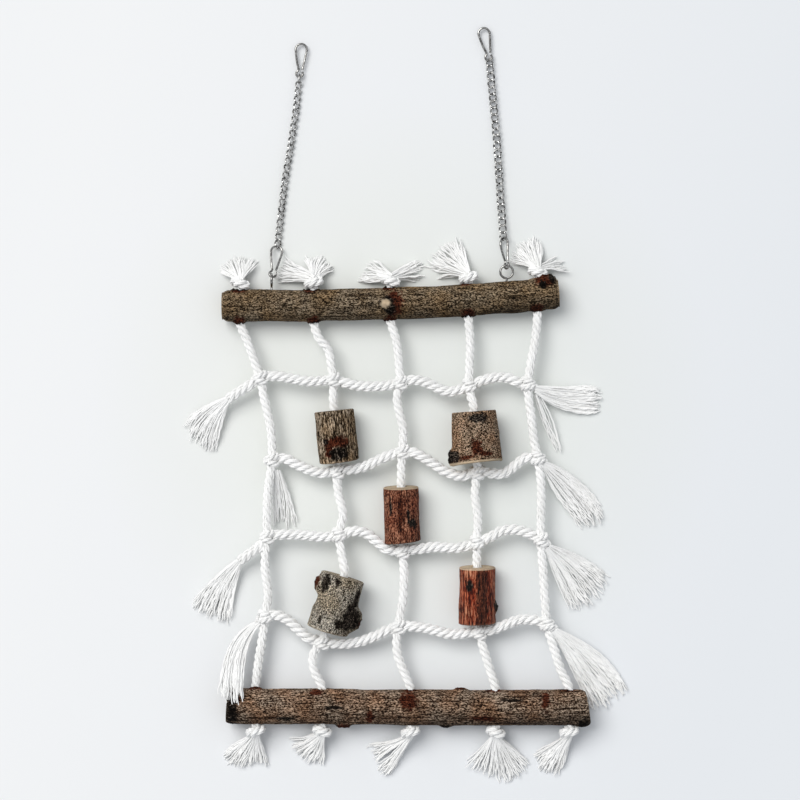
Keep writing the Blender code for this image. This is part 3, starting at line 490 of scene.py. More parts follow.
# Cross ropes: the same cotton, a little thicker, knotted round each vertical rope with two turns and
# left to fray past the outer ropes. Each row is one rope and folds with the band below it.
CROSS_BENDS = [
    [[(-91, 20.3), (-80.5, 18.6), (-66.5, 16.5)], [(-42, 15.4), (-31.5, 13.3), (-17.5, 13)],
     [(5, 17.5), (14, 16.1), (28, 9.8), (36, 10)], [(54, 17), (63, 19.3), (72, 18.9), (78.5, 16.1)]],
    [[(-84, -37.5), (-73.5, -42.7), (-59, -47.6)], [(-38.5, -45), (-28, -43), (-14, -36.5)],
     [(6.5, -33.6), (16, -38.5), (28, -46.2), (40, -49.7)],
     [(61, -48), (70, -47.6), (78.4, -41.3), (84.5, -37)]],
    [[(-87.5, -90.8), (-73.5, -91), (-57, -92.4)],
     [(-36.4, -88.5), (-28, -89.4), (-19, -96.2), (-12, -101.4)],
     [(9.1, -100.8), (21, -99.4), (37, -100)], [(60, -92.4), (67.5, -88.2), (77, -87.2), (87, -90)]],
    [[(-89.6, -147.2), (-81.9, -150.5), (-73.5, -158.2), (-67, -163.5)],
     [(-49, -167), (-35, -166.3), (-21, -162), (-13, -157.8)],
     [(4.9, -155), (17.5, -156.8), (31.5, -160.3), (42.7, -159.6)],
     [(61, -157.5), (70, -154), (80.5, -150.2), (90.5, -150.5)]],
]
# Tails: points of whole rope past the outer knot, the way its yarns bow, the line that they reach
# and their belly
LEFT_TAILS = [
    ([(-109, 13.7, 13), (-117.6, 8.4, 11.5), (-123.9, 4.2, 10.5)], (-0.10, 0.07),
     [(-155.4, -13.3), (-150.5, -23.1), (-141.4, -30.1), (-131.6, -31.5)], 0.0),
    ([(-97.5, -39.5, 13)], None, None, 0.0),
    ([(-102.2, -99.4, 13), (-109.9, -105, 11.5), (-115.5, -109.2, 10.5)], (-0.08, 0.06),
     [(-149.1, -139.3), (-144.9, -146.3), (-134.4, -150.5), (-122.5, -153.3)], 0.0),
    ([(-103, -152.5, 13.8)], (-0.19, 0.25), [(-128.1, -200.9), (-122.5, -205.8), (-112.0, -205.8)], 0.0),
]
RIGHT_TAILS = [
    ([(91, 11.2, 13)], (0, -0.11), [(135.8, 11.9), (137.9, 4.9), (135.1, -4.9)], 1.2),
    ([(97.3, -41.3, 13)], (0.06, 0.06), [(138.6, -74.9), (137.9, -81.9), (125.3, -88.2)], 1.4),
    ([(100.1, -99.4, 13)], (0.04, 0.04),
     [(144.9, -122.5), (136.5, -133.7), (128.1, -141.4), (115.5, -143.5)], 0.4),
    ([(104.6, -157.6, 13)], (0.06, 0.06),
     [(156.8, -198.1), (151.9, -205.1), (142.1, -210.7), (130.9, -214.2)], 0.4),
]
# Tails that leave beside a knot: row, root, way, the line they reach and their yarns
SIDE_TAILS = [
    (1, (-89.6, -45.5, 11.5), (0.02, 0), [(-93.8, -83.3), (-87.5, -86.1), (-74.2, -86.1)], 22),
    (0, (92.4, 7.7, 11.5), (0, 0.02), [(103.6, -33.6), (108.5, -32.9), (112.0, -30.8)], 8),
]
TAIL_YARNS = 95
# Two turns of each knot: how far off its middle, and how far each leans to either side. The rope
# dips behind the turns, and a knot under a block sits lower.
KNOT_TURNS = ((1.9, 0.38), (-1.9, -0.26))
KNOT_TURN_RADIUS = 0.0033
KNOT_ROPE_RADIUS = 0.0025
KNOT_DIP = 2.5
BLOCK_ROOM = 1.4
PERCH_TOP = 25.5
for row in range(4):
    left, right = LEFT_TAILS[row], RIGHT_TAILS[row]
    stops = list(reversed(left[0]))
    for rope in range(5):
        stops.append((*KNOTS[row][rope], NET_HEIGHT - KNOT_DIP))
        if rope < 4:
            stops += [(x, y, NET_HEIGHT) for x, y in CROSS_BENDS[row][rope]]
    stops += right[0]
    route = smooth_route([at(*stop) for stop in stops])
    bundles = [lay_rope(route, CROSS_RADIUS)]
    for rope in range(5):
        x, y = KNOTS[row][rope]
        lean_way = shuffle.choice((-1, 1))
        under_block = any(bore[:2] == (rope, row) for bore in BLOCK_BORES.values())
        for lift, lean in KNOT_TURNS:
            middle = at(x, y + lift - under_block * BLOCK_ROOM, NET_HEIGHT)
            bundles.append(wind_ring(middle, (lean * lean_way, 1, 0), KNOT_TURN_RADIUS, KNOT_ROPE_RADIUS))
    for tail in (left, right):
        points, way, ends, belly = tail
        if ends:
            climb = PERCH_TOP if tail is LEFT_TAILS[3] else None
            bundles.append(fray(points[-1], way, ends, TAIL_YARNS, belly, climb=climb))
    for side_row, root, way, ends, count in SIDE_TAILS:
        if side_row == row:
            bundles.append(fray(root, way, ends, count))
    piece = yarn_piece(f"cotton_cross_rope_{row + 1}", bundles)
    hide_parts(f"cross_rope_{row + 1}")
    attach(piece, BAND_NAMES[row + 1])


# Top perch: a length of grey-brown branch with the bark left on, sawn across and drilled for the five
# ropes, which hang in it by their knots. Bark is torn red where the drill came through and dark where
# a twig broke off.
LOG_SIDES = 112
BORE_RADIUS = 0.0042
EDGE_INSET = 0.0009
EDGE_RISE = 0.0006
END_RINGS = 4
# Bark: broad waves, fine ridges, and how finely the outlines of marks wander and tear
WAVE_WIDTH, WAVE_LENGTH, WAVE_HEIGHT = 0.009, 0.022, 0.0007
RIDGE_WIDTH, RIDGE_LENGTH, RIDGE_HEIGHT = 0.0017, 0.0085, 0.00035
MARK_WANDER = 420
MARK_RAGS = 620
# Ends: bare edge, how far in they are worn and cut aslant, and the dish's share of the face
BARE_EDGE = 0.0006
WORN_LENGTH = 0.0045
CUT_LENGTH = 0.009
DISH_WIDTH = 0.88
SPINE_STEP = 0.004
bark_relief = bpy.data.node_groups.new("bark_relief", "ShaderNodeTree")
for socket, way, kind in (
    ("Vector", "INPUT", "Vector"), ("Streaks", "INPUT", "Float"), ("Cracks", "INPUT", "Float"),
    ("Dark", "INPUT", "Color"), ("Middle", "INPUT", "Color"), ("Light", "INPUT", "Color"),
    ("Color", "OUTPUT", "Color"), ("Height", "OUTPUT", "Float"),
):
    bark_relief.interface.new_socket(socket, in_out=way, socket_type=f"NodeSocket{kind}")
relief_in = bark_relief.nodes.new("NodeGroupInput")
relief_out = bark_relief.nodes.new("NodeGroupOutput")
bark_place = relief_in.outputs["Vector"]
drawn = add_node(bark_relief, "ShaderNodeMapping", Vector=bark_place, Scale=(0.2, 0.75, 0.75))
drawn_far = add_node(bark_relief, "ShaderNodeMapping", Vector=bark_place, Scale=(0.045, 0.30, 0.30))
pits = add_node(
    bark_relief, "ShaderNodeTexNoise", Vector=bark_place,
    Scale=1.0, Detail=4.0, Roughness=0.6, Distortion=0.4,
)
streaks = add_node(
    bark_relief, "ShaderNodeTexNoise", Vector=drawn.outputs["Vector"],
    Scale=1.0, Detail=4.0, Roughness=0.55, Distortion=0.5,
)
cracks = add_node(
    bark_relief, "ShaderNodeTexNoise", Vector=drawn_far.outputs["Vector"],
    Scale=1.0, Detail=5.0, Roughness=0.6, Distortion=0.6,
)
cracked = add_ramp(bark_relief, cracks.outputs["Fac"], [(0.36, 0.30), (0.46, 1.0)])
pitted = add_ramp(bark_relief, pits.outputs["Fac"], [(0.42, 0.0), (0.58, 1.0)])
streaked = add_ramp(bark_relief, streaks.outputs["Fac"], [(0.40, 0.0), (0.60, 1.0)])
carved = add_mix(bark_relief, relief_in.outputs["Streaks"], pitted, streaked)
carved = add_mix(bark_relief, relief_in.outputs["Cracks"], carved, cracked, "MULTIPLY")
carved_grey = add_node(bark_relief, "ShaderNodeRGBToBW", Color=carved).outputs[0]
low_tone = add_ramp(bark_relief, carved_grey, [(0.22, 0.0), (0.50, 1.0)])
high_tone = add_ramp(bark_relief, carved_grey, [(0.50, 0.0), (0.88, 1.0)])
low_colour = add_mix(bark_relief, low_tone, relief_in.outputs["Dark"], relief_in.outputs["Middle"])
high_colour = add_mix(bark_relief, high_tone, low_colour, relief_in.outputs["Light"])
bark_relief.links.new(high_colour, relief_out.inputs["Color"])
bark_relief.links.new(carved_grey, relief_out.inputs["Height"])


def make_bark(name, heading, dark, middle, light, cast, gloss, grain, streaks, cracks):
    """Bark along a log: heading is the log's own direction about Z, grain the pits a metre each way."""
    material, tree, skin = make_paint(name, Specular_IOR_Level=0.45 * (1 - gloss))
    place = tree.nodes.new("ShaderNodeTexCoord").outputs["Object"]
    turned = add_node(tree, "ShaderNodeMapping", Vector=place, Rotation=(0, 0, -heading))
    stretched = add_node(
        tree, "ShaderNodeMapping", Vector=turned.outputs["Vector"], Scale=(grain[0], grain[1], grain[1]),
    )
    relief = tree.nodes.new("ShaderNodeGroup")
    relief.node_tree = bark_relief
    tree.links.new(stretched.outputs["Vector"], relief.inputs["Vector"])
    relief.inputs["Streaks"].default_value = streaks
    relief.inputs["Cracks"].default_value = cracks
    for level, tone in (("Dark", dark), ("Middle", middle), ("Light", light)):
        relief.inputs[level].default_value = (*tone, 1)
    # Weathered areas: the whole tone drifts over a few centimetres
    drift = add_node(tree, "ShaderNodeTexNoise", Vector=place, Scale=55.0, Detail=2.0)
    drifted = add_ramp(tree, drift.outputs["Fac"], [(0.4, 0.0), (0.68, 1.0)])
    tinted = add_mix(tree, 0.75, relief.outputs["Color"], cast, "MULTIPLY")
    colour = add_mix(tree, drifted, relief.outputs["Color"], tinted)
    # Torn red bark, dark scars and pale sawn wood come from the log's own marks
    marks = tree.nodes.new("ShaderNodeVertexColor")
    marks.layer_name = "marks"
    split = add_node(tree, "ShaderNodeSeparateColor", Color=marks.outputs["Color"])
    torn = add_ramp(
        tree, relief.outputs["Height"],
        [(0.2, (0.004, 0.001, 0.0008)), (0.6, (0.095, 0.022, 0.010)), (1.0, (0.20, 0.066, 0.034))],
    )
    colour = add_mix(tree, split.outputs["Red"], colour, torn)
    charred = add_ramp(
        tree, relief.outputs["Height"],
        [(0.5, (0.003, 0.002, 0.0015)), (0.8, (0.030, 0.021, 0.015)), (1.0, (0.22, 0.18, 0.145))],
    )
    colour = add_mix(tree, split.outputs["Green"], colour, charred)
    rings = add_node(tree, "ShaderNodeTexNoise", Vector=place, Scale=420.0, Detail=2.0)
    sawn = add_mix(tree, rings.outputs["Fac"], (0.60, 0.44, 0.28), (0.82, 0.68, 0.50))
    colour = add_mix(tree, split.outputs["Blue"], colour, sawn)
    # Painted shade: the alpha of the marks darkens the side of the log turned from the light
    colour = add_mix(tree, 1.0, colour, marks.outputs["Alpha"], "MULTIPLY")
    tree.links.new(colour, skin.inputs["Base Color"])
    shine = add_node(
        tree, "ShaderNodeMapRange", Value=relief.outputs["Height"],
        To_Min=min(1.0, gloss + 0.1), To_Max=gloss - 0.1,
    )
    tree.links.new(shine.outputs["Result"], skin.inputs["Roughness"])
    bump = add_node(tree, "ShaderNodeBump", Height=relief.outputs["Height"], Strength=0.8, Distance=0.0009)
    tree.links.new(bump.outputs["Normal"], skin.inputs["Normal"])
    return material


def saw_log(name, length, radius, cuts, drilled):
    """A sawn length of round wood along Z: side loops, chamfered ends, and a bore if it is drilled."""
    bpy.ops.object.select_all(action="DESELECT")
    bpy.ops.mesh.primitive_cylinder_add(vertices=LOG_SIDES, radius=radius, depth=length, end_fill_type="NGON")
    log = bpy.context.object
    log.name = name
    bpy.ops.object.mode_set(mode="EDIT")
    bpy.ops.mesh.select_mode(type="EDGE")
    bpy.ops.mesh.select_all(action="DESELECT")
    bpy.ops.object.mode_set(mode="OBJECT")
    for edge in log.data.edges:
        low, high = (log.data.vertices[v].co.z for v in edge.vertices)
        edge.select = abs(high - low) > length / 2
    bpy.ops.object.mode_set(mode="EDIT")
    bpy.ops.mesh.subdivide_edgering(number_cuts=cuts, interpolation="LINEAR", smoothness=0)
    bpy.ops.mesh.select_mode(type="FACE")
    bpy.ops.mesh.select_all(action="DESELECT")
    bpy.ops.object.mode_set(mode="OBJECT")
    for face in log.data.polygons:
        face.select = abs(face.normal.z) > 0.9
    bpy.ops.object.mode_set(mode="EDIT")
    hub = BORE_RADIUS if drilled else radius * 0.15
    bpy.ops.mesh.inset(thickness=EDGE_INSET, depth=EDGE_RISE, use_boundary=True)
    for _ in range(END_RINGS):
        bpy.ops.mesh.inset(thickness=(radius - EDGE_INSET - hub) / END_RINGS, depth=0, use_boundary=True)
    if drilled:
        bpy.ops.mesh.bridge_edge_loops()
    bpy.ops.object.mode_set(mode="OBJECT")
    return log


def grow_bark(
    log, path, radius, lumps, marks, seed, rims,
    flare=0.0, slants=(0, 0), skews=(0, 0), painted_shade=0.0, hollow=0.0, worn=0.0,
):
    """Bends a straight log onto its path, roughens its bark and paints its marks.

    A lump is its place along in millimetres, angle about the log in degrees, size and height. A mark
    is its kind (torn red, dark or pale), place, angle, half length, half width and height. Rims say
    how bare of bark each end's edge is, and slants and skews how far in degrees each saw cut leans
    upwards and sideways. The painted shade value says how much one side is darkened as painted
    shade, for the side turned from the light, or below zero the other side, more so to the far end.
    A hollow is how deep the far end is dished and cut back underneath, which leaves a knot its room.
    Worn is how much the edges of both ends are rounded off.
    """
    mesh = log.data
    places = np.array([v.co for v in mesh.vertices])
    angle = np.arctan2(places[:, 1], places[:, 0])
    reach = np.hypot(places[:, 0], places[:, 1])
    length = places[:, 2].max() - places[:, 2].min()
    run = places[:, 2] - places[:, 2].min()
    to_end = np.minimum(run, length - run)
    near_half = run < length / 2
    skin = np.clip((reach / radius - 0.9) / 0.06, 0, 1)
    tint = np.zeros((len(places), 4))
    # Painted shade: one side of the log is darkened in the alpha of the marks, more so towards the far end;
    # it stands in for the shade on the side turned from the light
    shaded_side = np.clip(0.1 - np.sign(painted_shade) * np.cos(angle), 0, 1)
    tint[:, 3] = 1 - abs(painted_shade) * shaded_side * (0.5 + run / length)
    rise = np.zeros(len(places))
    wander = np.zeros(len(places))
    ragged = np.zeros(len(places))
    for i in range(len(places)):
        ring = Vector((cos(angle[i]) * radius, sin(angle[i]) * radius, run[i]))
        waves = Vector((ring.x / WAVE_WIDTH, ring.y / WAVE_WIDTH, ring.z / WAVE_LENGTH + seed))
        ridges = Vector((ring.x / RIDGE_WIDTH, ring.y / RIDGE_WIDTH, ring.z / RIDGE_LENGTH + seed))
        rise[i] = WAVE_HEIGHT * noise.noise(waves) + RIDGE_HEIGHT * (noise.turbulence(ridges, 3, False) - 0.9)
        wander[i] = noise.noise(ring * MARK_WANDER + Vector((seed, 0, 0)))
        ragged[i] = noise.noise(ring * MARK_RAGS + Vector((0, seed, 0)))

    def arc_from(turn):
        """Millimetres round the log from an angle in degrees."""
        away = np.abs((np.degrees(angle) - turn + 180) % 360 - 180)
        return radians(1) * away * radius / MM

    for kind, along, turn, half_length, half_width, height in marks:
        down = (run / MM - along) / half_length
        round_log = arc_from(turn) / half_width
        rough = 0.4 if kind == "b" else 1.0
        edge = 1.0 - np.sqrt(down ** 2 + round_log ** 2) + 0.35 * rough * (wander + ragged)
        inside = np.clip(edge * 3.5 + 0.2, 0, 1)
        channel = "rgb".index(kind)
        tint[:, channel] = np.maximum(tint[:, channel], inside)
        rise += inside * (height + rough * ragged) * MM
    for along, turn, size, height in lumps:
        gap = np.hypot(run / MM - along, arc_from(turn)) / size
        rise += height * MM * np.exp(-gap ** 4)
    rise -= worn * np.clip(1 - to_end / WORN_LENGTH, 0, 1) ** 2
    grown = (reach + rise * skin) * (1 + flare * (run / length - 0.5) * skin)
    rim = np.where(near_half, rims[0], rims[1])
    chamfer = np.clip((BARE_EDGE * (1 + rim) - to_end) / BARE_EDGE, 0, 1)
    pale = np.maximum(1 - skin, chamfer * skin) * np.minimum(rim, 1)
    tint[:, 2] = np.maximum(tint[:, 2], pale)
    tint[:, 0] *= 1 - pale
    tint[:, 1] *= 1 - 0.6 * pale
    lean = np.where(near_half, tan(radians(slants[0])), -tan(radians(slants[1])))
    skew = np.where(near_half, tan(radians(skews[0])), -tan(radians(skews[1])))
    near_end = np.clip(1 - to_end / CUT_LENGTH, 0, 1)
    cut = run + near_end * grown * (lean * np.sin(angle) + skew * np.cos(angle))
    far_end = near_end * ~near_half
    dish = np.clip(1 - (reach / (DISH_WIDTH * radius)) ** 2, 0, 1)
    under = np.clip(-np.sin(angle), 0, 1) * reach / radius
    share = (cut - hollow * far_end * np.maximum(dish, under)) / length
    stations = np.linspace(0, 1, len(path))
    along = np.gradient(path, axis=0)
    centre = np.column_stack([np.interp(share, stations, path[:, k]) for k in range(3)])
    overrun = share - np.clip(share, 0, 1)
    centre += overrun[:, None] * (path[-1] - path[0])
    along /= np.linalg.norm(along, axis=1)[:, None]
    side = np.cross((0, 0, 1), along)
    side = np.column_stack([np.interp(share, stations, side[:, k]) for k in range(3)])
    where = centre + side * (grown * np.cos(angle))[:, None]
    where[:, 2] += grown * np.sin(angle)
    mesh.vertices.foreach_set("co", where.ravel())
    layer = mesh.color_attributes.new("marks", "FLOAT_COLOR", "POINT")
    layer.data.foreach_set("color", tint.ravel())
    mesh.update()
    bpy.ops.object.select_all(action="DESELECT")
    log.select_set(True)
    bpy.context.view_layer.objects.active = log
    bpy.ops.object.mode_set(mode="EDIT")
    bpy.ops.mesh.select_all(action="SELECT")
    bpy.ops.mesh.normals_make_consistent(inside=False)
    bpy.ops.object.mode_set(mode="OBJECT")
    bpy.ops.object.shade_smooth_by_angle(angle=radians(50))


TOP_LENGTH = 0.2357
TOP_LOG_RADIUS = 0.0114
TOP_CUTS = 190
TOP_LUMPS = [
    (230, 30, 6.0, 3.0), (222, 20, 5, 1.2), (182, 100, 9, 0.6), (115, 85, 6, 0.8), (12, 172, 4.5, 1.2),
    (65, 172, 4.5, 1.2), (118, 172, 4.5, 1.0), (222, 170, 4.5, 1.0),
]
TOP_MARKS = [
    ("r", 12.5, 160, 5, 6, 0.4), ("g", 14, 172, 4, 3, 0.2), ("r", 12, 20, 6, 4.5, 0.2),
    ("g", 12, 10, 6, 3, 0.2), ("r", 65, 160, 5, 6, 0.4), ("g", 66, 172, 4, 3, 0.2),
    ("r", 64, 20, 6, 4, 0.2), ("g", 64, 10, 6, 3, 0.2), ("r", 118, 162, 5, 5, 0.3),
    ("r", 118, 18, 5, 3.5, 0.2), ("g", 118, 8, 5, 2.5, 0.2), ("r", 172, 150, 5, 6, 0.2),
    ("g", 172, 172, 4, 3, 0.2), ("r", 172, 15, 5, 3, 0.2), ("r", 221, 150, 5, 5, 0.2),
    ("r", 228, 35, 7, 7, 0.3), ("g", 226, 60, 3, 3, -0.2), ("g", 233, 30, 3, 6, 0.0),
    ("r", 122, 91, 7, 12, 0.1), ("g", 116, 91, 6, 5.6, 0.2), ("b", 115.2, 91, 3.8, 3.2, 0.5),
    ("g", 119, 112, 4, 4, -0.1),
]
grey_bark = make_bark(
    "grey_brown_bark", 0, (0.006, 0.004, 0.002), (0.118, 0.083, 0.050), (0.485, 0.38, 0.262),
    (1.0, 0.80, 0.54), 0.85, (760, 1450), 0.3, 0.62,
)
top_log = saw_log("bark_top_perch", TOP_LENGTH, TOP_LOG_RADIUS, TOP_CUTS, False)
top_spine = smooth_route([at(x, y, TOP_HEIGHT) for x, y in TOP_AXIS], SPINE_STEP)
# The perch's lower edge is darkened as painted shade, more so towards its right end
grow_bark(
    top_log, top_spine, TOP_LOG_RADIUS, TOP_LUMPS, TOP_MARKS, 3.1, (0.3, 0.4),
    slants=(-1, -1), painted_shade=0.45, worn=0.0022,
)
top_log.data.materials.append(grey_bark)
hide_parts("top_perch")
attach(top_log, "top_band")


# Bottom perch: a thicker and redder length of branch, sawn and drilled like the top one. It hangs on
# the knots below it and weighs the net down.
BOTTOM_LENGTH = 0.2525
BOTTOM_LOG_RADIUS = 0.0127
BOTTOM_CUTS = 205
BOTTOM_LUMPS = [
    (81, 172, 5, 1.8), (165, 8, 5, 1.5), (154, 176, 4, 1.6), (249, 160, 5, 1.6), (21, 20, 4, 1.4),
]
BOTTOM_MARKS = [
    ("g", 3, 95, 6, 16, 0.0), ("r", 6, 60, 4, 5, 0.0), ("r", 20, 15, 6, 3.5, 0.5),
    ("r", 62, 32, 5, 4, 0.3), ("r", 81, 165, 5, 4, 0.3), ("r", 127, 60, 7, 8, 0.1),
    ("r", 128, 15, 6, 3, 0.3), ("r", 188, 12, 6, 3, 0.3), ("r", 224, 62, 3, 8, 0.1),
    ("r", 240, 12, 6, 3, 0.3), ("g", 249, 150, 4, 5, 0.0), ("g", 154, 170, 4, 3, 0.0),
    ("r", 164, 8, 4, 3, 0.2), ("g", 74, 88, 7, 1.4, -0.3), ("r", 100, 122, 3, 6, 0.1),
    ("r", 180, 122, 10, 2.5, 0.1), ("g", 40, 130, 8, 2, -0.2), ("g", 200, 60, 8, 1.5, -0.2),
]
red_grey_bark = make_bark(
    "reddish_grey_bark", 0, (0.007, 0.003, 0.0015), (0.128, 0.080, 0.051), (0.63, 0.49, 0.368),
    (1.0, 0.70, 0.51), 0.85, (720, 1450), 0.36, 0.66,
)
bottom_log = saw_log("bark_bottom_perch", BOTTOM_LENGTH, BOTTOM_LOG_RADIUS, BOTTOM_CUTS, False)
bottom_spine = smooth_route([at(x, y, BOTTOM_HEIGHT) for x, y in BOTTOM_AXIS], SPINE_STEP)
# The perch's lower edge is darkened as painted shade, more so towards its right end
grow_bark(
    bottom_log, bottom_spine, BOTTOM_LOG_RADIUS, BOTTOM_LUMPS, BOTTOM_MARKS, 8.7, (0.15, 0.2),
    slants=(-1, -1), skews=(4, 9), painted_shade=0.5, worn=0.0012,
)
bottom_log.data.materials.append(red_grey_bark)
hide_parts("bottom_perch")
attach(bottom_log, "bottom_band")


# Log blocks: short lengths of two kinds of branch, sawn across and drilled along the grain. Each is
# threaded on a rope, turns freely on it and rests above a knot.
KNOT_HOLLOW = 0.0056
# Painted shade on the right side of every block, darker towards its lower end
BLOCK_PAINTED_SHADE = -0.24
BLOCK_CUTS = 44
# Each block: radius, widening downwards, bark tones, gloss, grain, streaks, cracks and seed; how much
# longer each end is than the bore, how bare, slanted and skewed the ends are, its lumps and its marks
BLOCK_LOOKS = {
    "block_a": (
        (0.0141, 0.0),
        ((0.005, 0.003, 0.001), (0.126, 0.089, 0.055), (0.68, 0.545, 0.41), (0.9, 0.72, 0.5)),
        0.88, (520, 1350), 0.5, 0.4, 1.3, (-2.2, 1.8), (0.2, 0.3), (0, -4), (0, 1.5), [(29, 85, 5, 0.7)],
        [("r", 23, 92, 4.5, 11, 0.05), ("r", 29, 116, 5, 4, 0.0), ("g", 31, 90, 5, 7, 0.3),
         ("g", 22, 126, 2.5, 3, -0.1)],
    ),
    "block_b": (
        (0.0169, 0.16),
        ((0.006, 0.003, 0.001), (0.183, 0.115, 0.069), (0.74, 0.545, 0.385), (0.95, 0.70, 0.53)),
        0.86, (1650, 900), 0.1, 0.25, 5.9, (0, 1.9), (0.15, 2.4), (0, 4.5), (0, 2.5), [(32, 165, 6, 2.6)],
        [("r", 26, 91, 7, 4.2, -0.1), ("g", 32, 155, 6, 7, 0.1), ("r", 31, 72, 2.4, 6, 0.0),
         ("g", 5, 80, 4, 9, -0.1), ("r", 33, 120, 2, 6, 0.0)],
    ),
    "block_c": (
        (0.0126, 0.03),
        ((0.016, 0.003, 0.002), (0.185, 0.056, 0.029), (0.53, 0.255, 0.155), (0.95, 0.6, 0.5)),
        0.72, (700, 1450), 0.4, 0.4, 2.2, (0, 2.2), (1.0, 0.15), (4.2, -3), (0, 5.0), [],
        [("g", 26, 52, 4, 4, -0.3), ("g", 20, 68, 6, 1.3, -0.2), ("g", 14, 130, 7, 1.3, -0.2),
         ("r", 18, 95, 16, 2.5, 0.0)],
    ),
    "block_d": (
        (0.0152, -0.09),
        ((0.003, 0.002, 0.0015), (0.18, 0.147, 0.112), (1.0, 0.92, 0.78), (0.85, 0.75, 0.6)),
        0.92, (1300, 1600), 0.1, 0.3, 7.4, (0, 2.1), (0.3, 0.5), (0, -3), (0, 0),
        [(10, 168, 6.5, 3.0), (28, 2, 8.5, 6.0), (19, 180, 6, -1.6), (17, 0, 6, 0.6), (18, 90, 9, 0.6)],
        # The dark marks at 26 to 62 degrees, on the block's right side, are both charred bark and painted
        # shade
        [("r", 9, 165, 6, 5, 0.0), ("g", 7, 132, 8, 4, -0.3), ("g", 26, 34, 11, 7, -0.2),
         ("g", 13, 26, 9, 4, -0.2), ("r", 29, 5, 4, 6, 0.0), ("g", 33, 62, 4, 5, -0.2),
         ("g", 34, 120, 3, 1.6, -0.3), ("g", 4, 100, 4, 2, -0.2)],
    ),
    "block_e": (
        (0.0131, 0.05),
        ((0.035, 0.006, 0.003), (0.245, 0.040, 0.014), (0.62, 0.275, 0.155), (1.0, 0.55, 0.42)),
        0.6, (260, 1100), 0.55, 0.3, 4.4, (0, 1.4), (1.0, 0.25), (4.3, -3), (0, 1), [(29, 8, 4, 1.4)],
        [("g", 13, 115, 5, 3, 0.2), ("g", 28, 16, 5, 3, 0.2), ("r", 20, 76, 30, 4.6, 0.3)],
    ),
}
for name, looks in BLOCK_LOOKS.items():
    (radius, flare), tones, gloss, grain, streaks, cracks, seed = looks[:7]
    extra, rims, slants, skews, lumps, marks = looks[7:]
    upper, lower, height = BLOCK_BORES[name][2:]
    ends = [at(*upper, height), at(*lower, height)]
    bore = (ends[1] - ends[0]).normalized()
    ends = [ends[0] - bore * extra[0] * MM, ends[1] + bore * extra[1] * MM]
    along = ends[1] - ends[0]
    log = saw_log(f"bark_{name}", along.length, radius, BLOCK_CUTS, True)
    path = np.array([ends[0].lerp(ends[1], k / 6) for k in range(7)])
    grow_bark(log, path, radius, lumps, marks, seed, rims, flare, slants, skews, BLOCK_PAINTED_SHADE, KNOT_HOLLOW)
    heading = atan2(along.y, along.x)
    log.data.materials.append(make_bark(f"bark_of_{name}", heading, *tones, gloss, grain, streaks, cracks))
    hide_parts(name)
    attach(log, f"{name}_body")


# Screw eyes and snap hooks: bright plated steel wire, bent cold. The eyes' shanks are screwed into
# the top perch; each hook has a bow, a small eye and a springy gate that closes on the bow's end.
def painted_reflection_steel(name, dull, middle, bright):
    """Plated steel whose tone drifts along the wire between three grey levels."""
    steel, tree, metal = make_paint(name, Metallic=1.0, Roughness=0.17)
    place = tree.nodes.new("ShaderNodeTexCoord").outputs["Object"]
    # Painted reflection: the tone that drifts along the wire stands in for reflections of darker and brighter
    # surroundings
    tone = add_node(tree, "ShaderNodeTexNoise", Vector=place, Scale=650.0, Detail=3.0)
    colour = add_ramp(tree, tone.outputs["Fac"], [(0.38, dull), (0.50, middle), (0.62, bright)])
    tree.links.new(colour, metal.inputs["Base Color"])
    return steel


# Painted reflection: the hooks and eyes are painted dark grey with a drifting tone, standing in for the
# reflection of a dark room
hook_steel = painted_reflection_steel(
    "plated_wire_with_painted_reflections", (0.15, 0.146, 0.14), (0.30, 0.296, 0.287), (0.50, 0.495, 0.48),
)
EYES_X = {"left": -93.4, "right": 71.2}
EYE_RING = 0.0045
EYE_WIRE = 0.0008
EYE_NECK = 0.0009
EYE_OUT = 11.6
SHANK_LENGTH = 0.0098
SHANK_STEP = 0.0006
SHANK_POINTS = 16
EYE_BEND = 0.0004
HOOK_WIRE = 0.0008
HOOK_EYE = 0.0023
HOOK_BOW = 0.0039
BOW_CENTRE = 0.0171
HOOK_THROAT = 0.0009
CATCH_DROP = 0.0014
CATCH = (HOOK_BOW, BOW_CENTRE - CATCH_DROP)
HOOK_HEADINGS = {"left": radians(9), "right": radians(-6)}
HOOK_ROLLS = {"left": 0.0, "right": radians(50)}
UPPER_HOOK_HEADINGS = {"left": radians(4), "right": radians(-11)}
RIGHT_HOOK_SLOPE = radians(20)
LEG_BOW = 0.0004
GATE_LIFT = 0.0006
GAP = 0.0003
BOW_STEPS = 24
EYE_STEPS = 28
RING_POINTS = 32
CHAIN_HEIGHT = 0.0032


def wire_piece(name, wires, radius, material, node, body, closed=False):
    """Bent round wires of one piece, each through its points and closed on itself or not."""
    piece = bend_curve(name, [(points, np.ones(len(points))) for points in wires], radius, 2, closed)
    bpy.ops.object.select_all(action="DESELECT")
    piece.select_set(True)
    bpy.context.view_layer.objects.active = piece
    bpy.ops.object.convert(target="MESH")
    bpy.ops.object.shade_smooth_by_angle(angle=radians(50))
    piece = bpy.context.object
    piece.data.materials.append(material)
    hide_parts(node)
    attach(piece, body)


def direction_at(heading, dip):
    """Way a hook or chain runs: heading from +Y towards +X, and dip below the level."""
    return Vector((sin(heading) * cos(dip), cos(heading) * cos(dip), -sin(dip)))


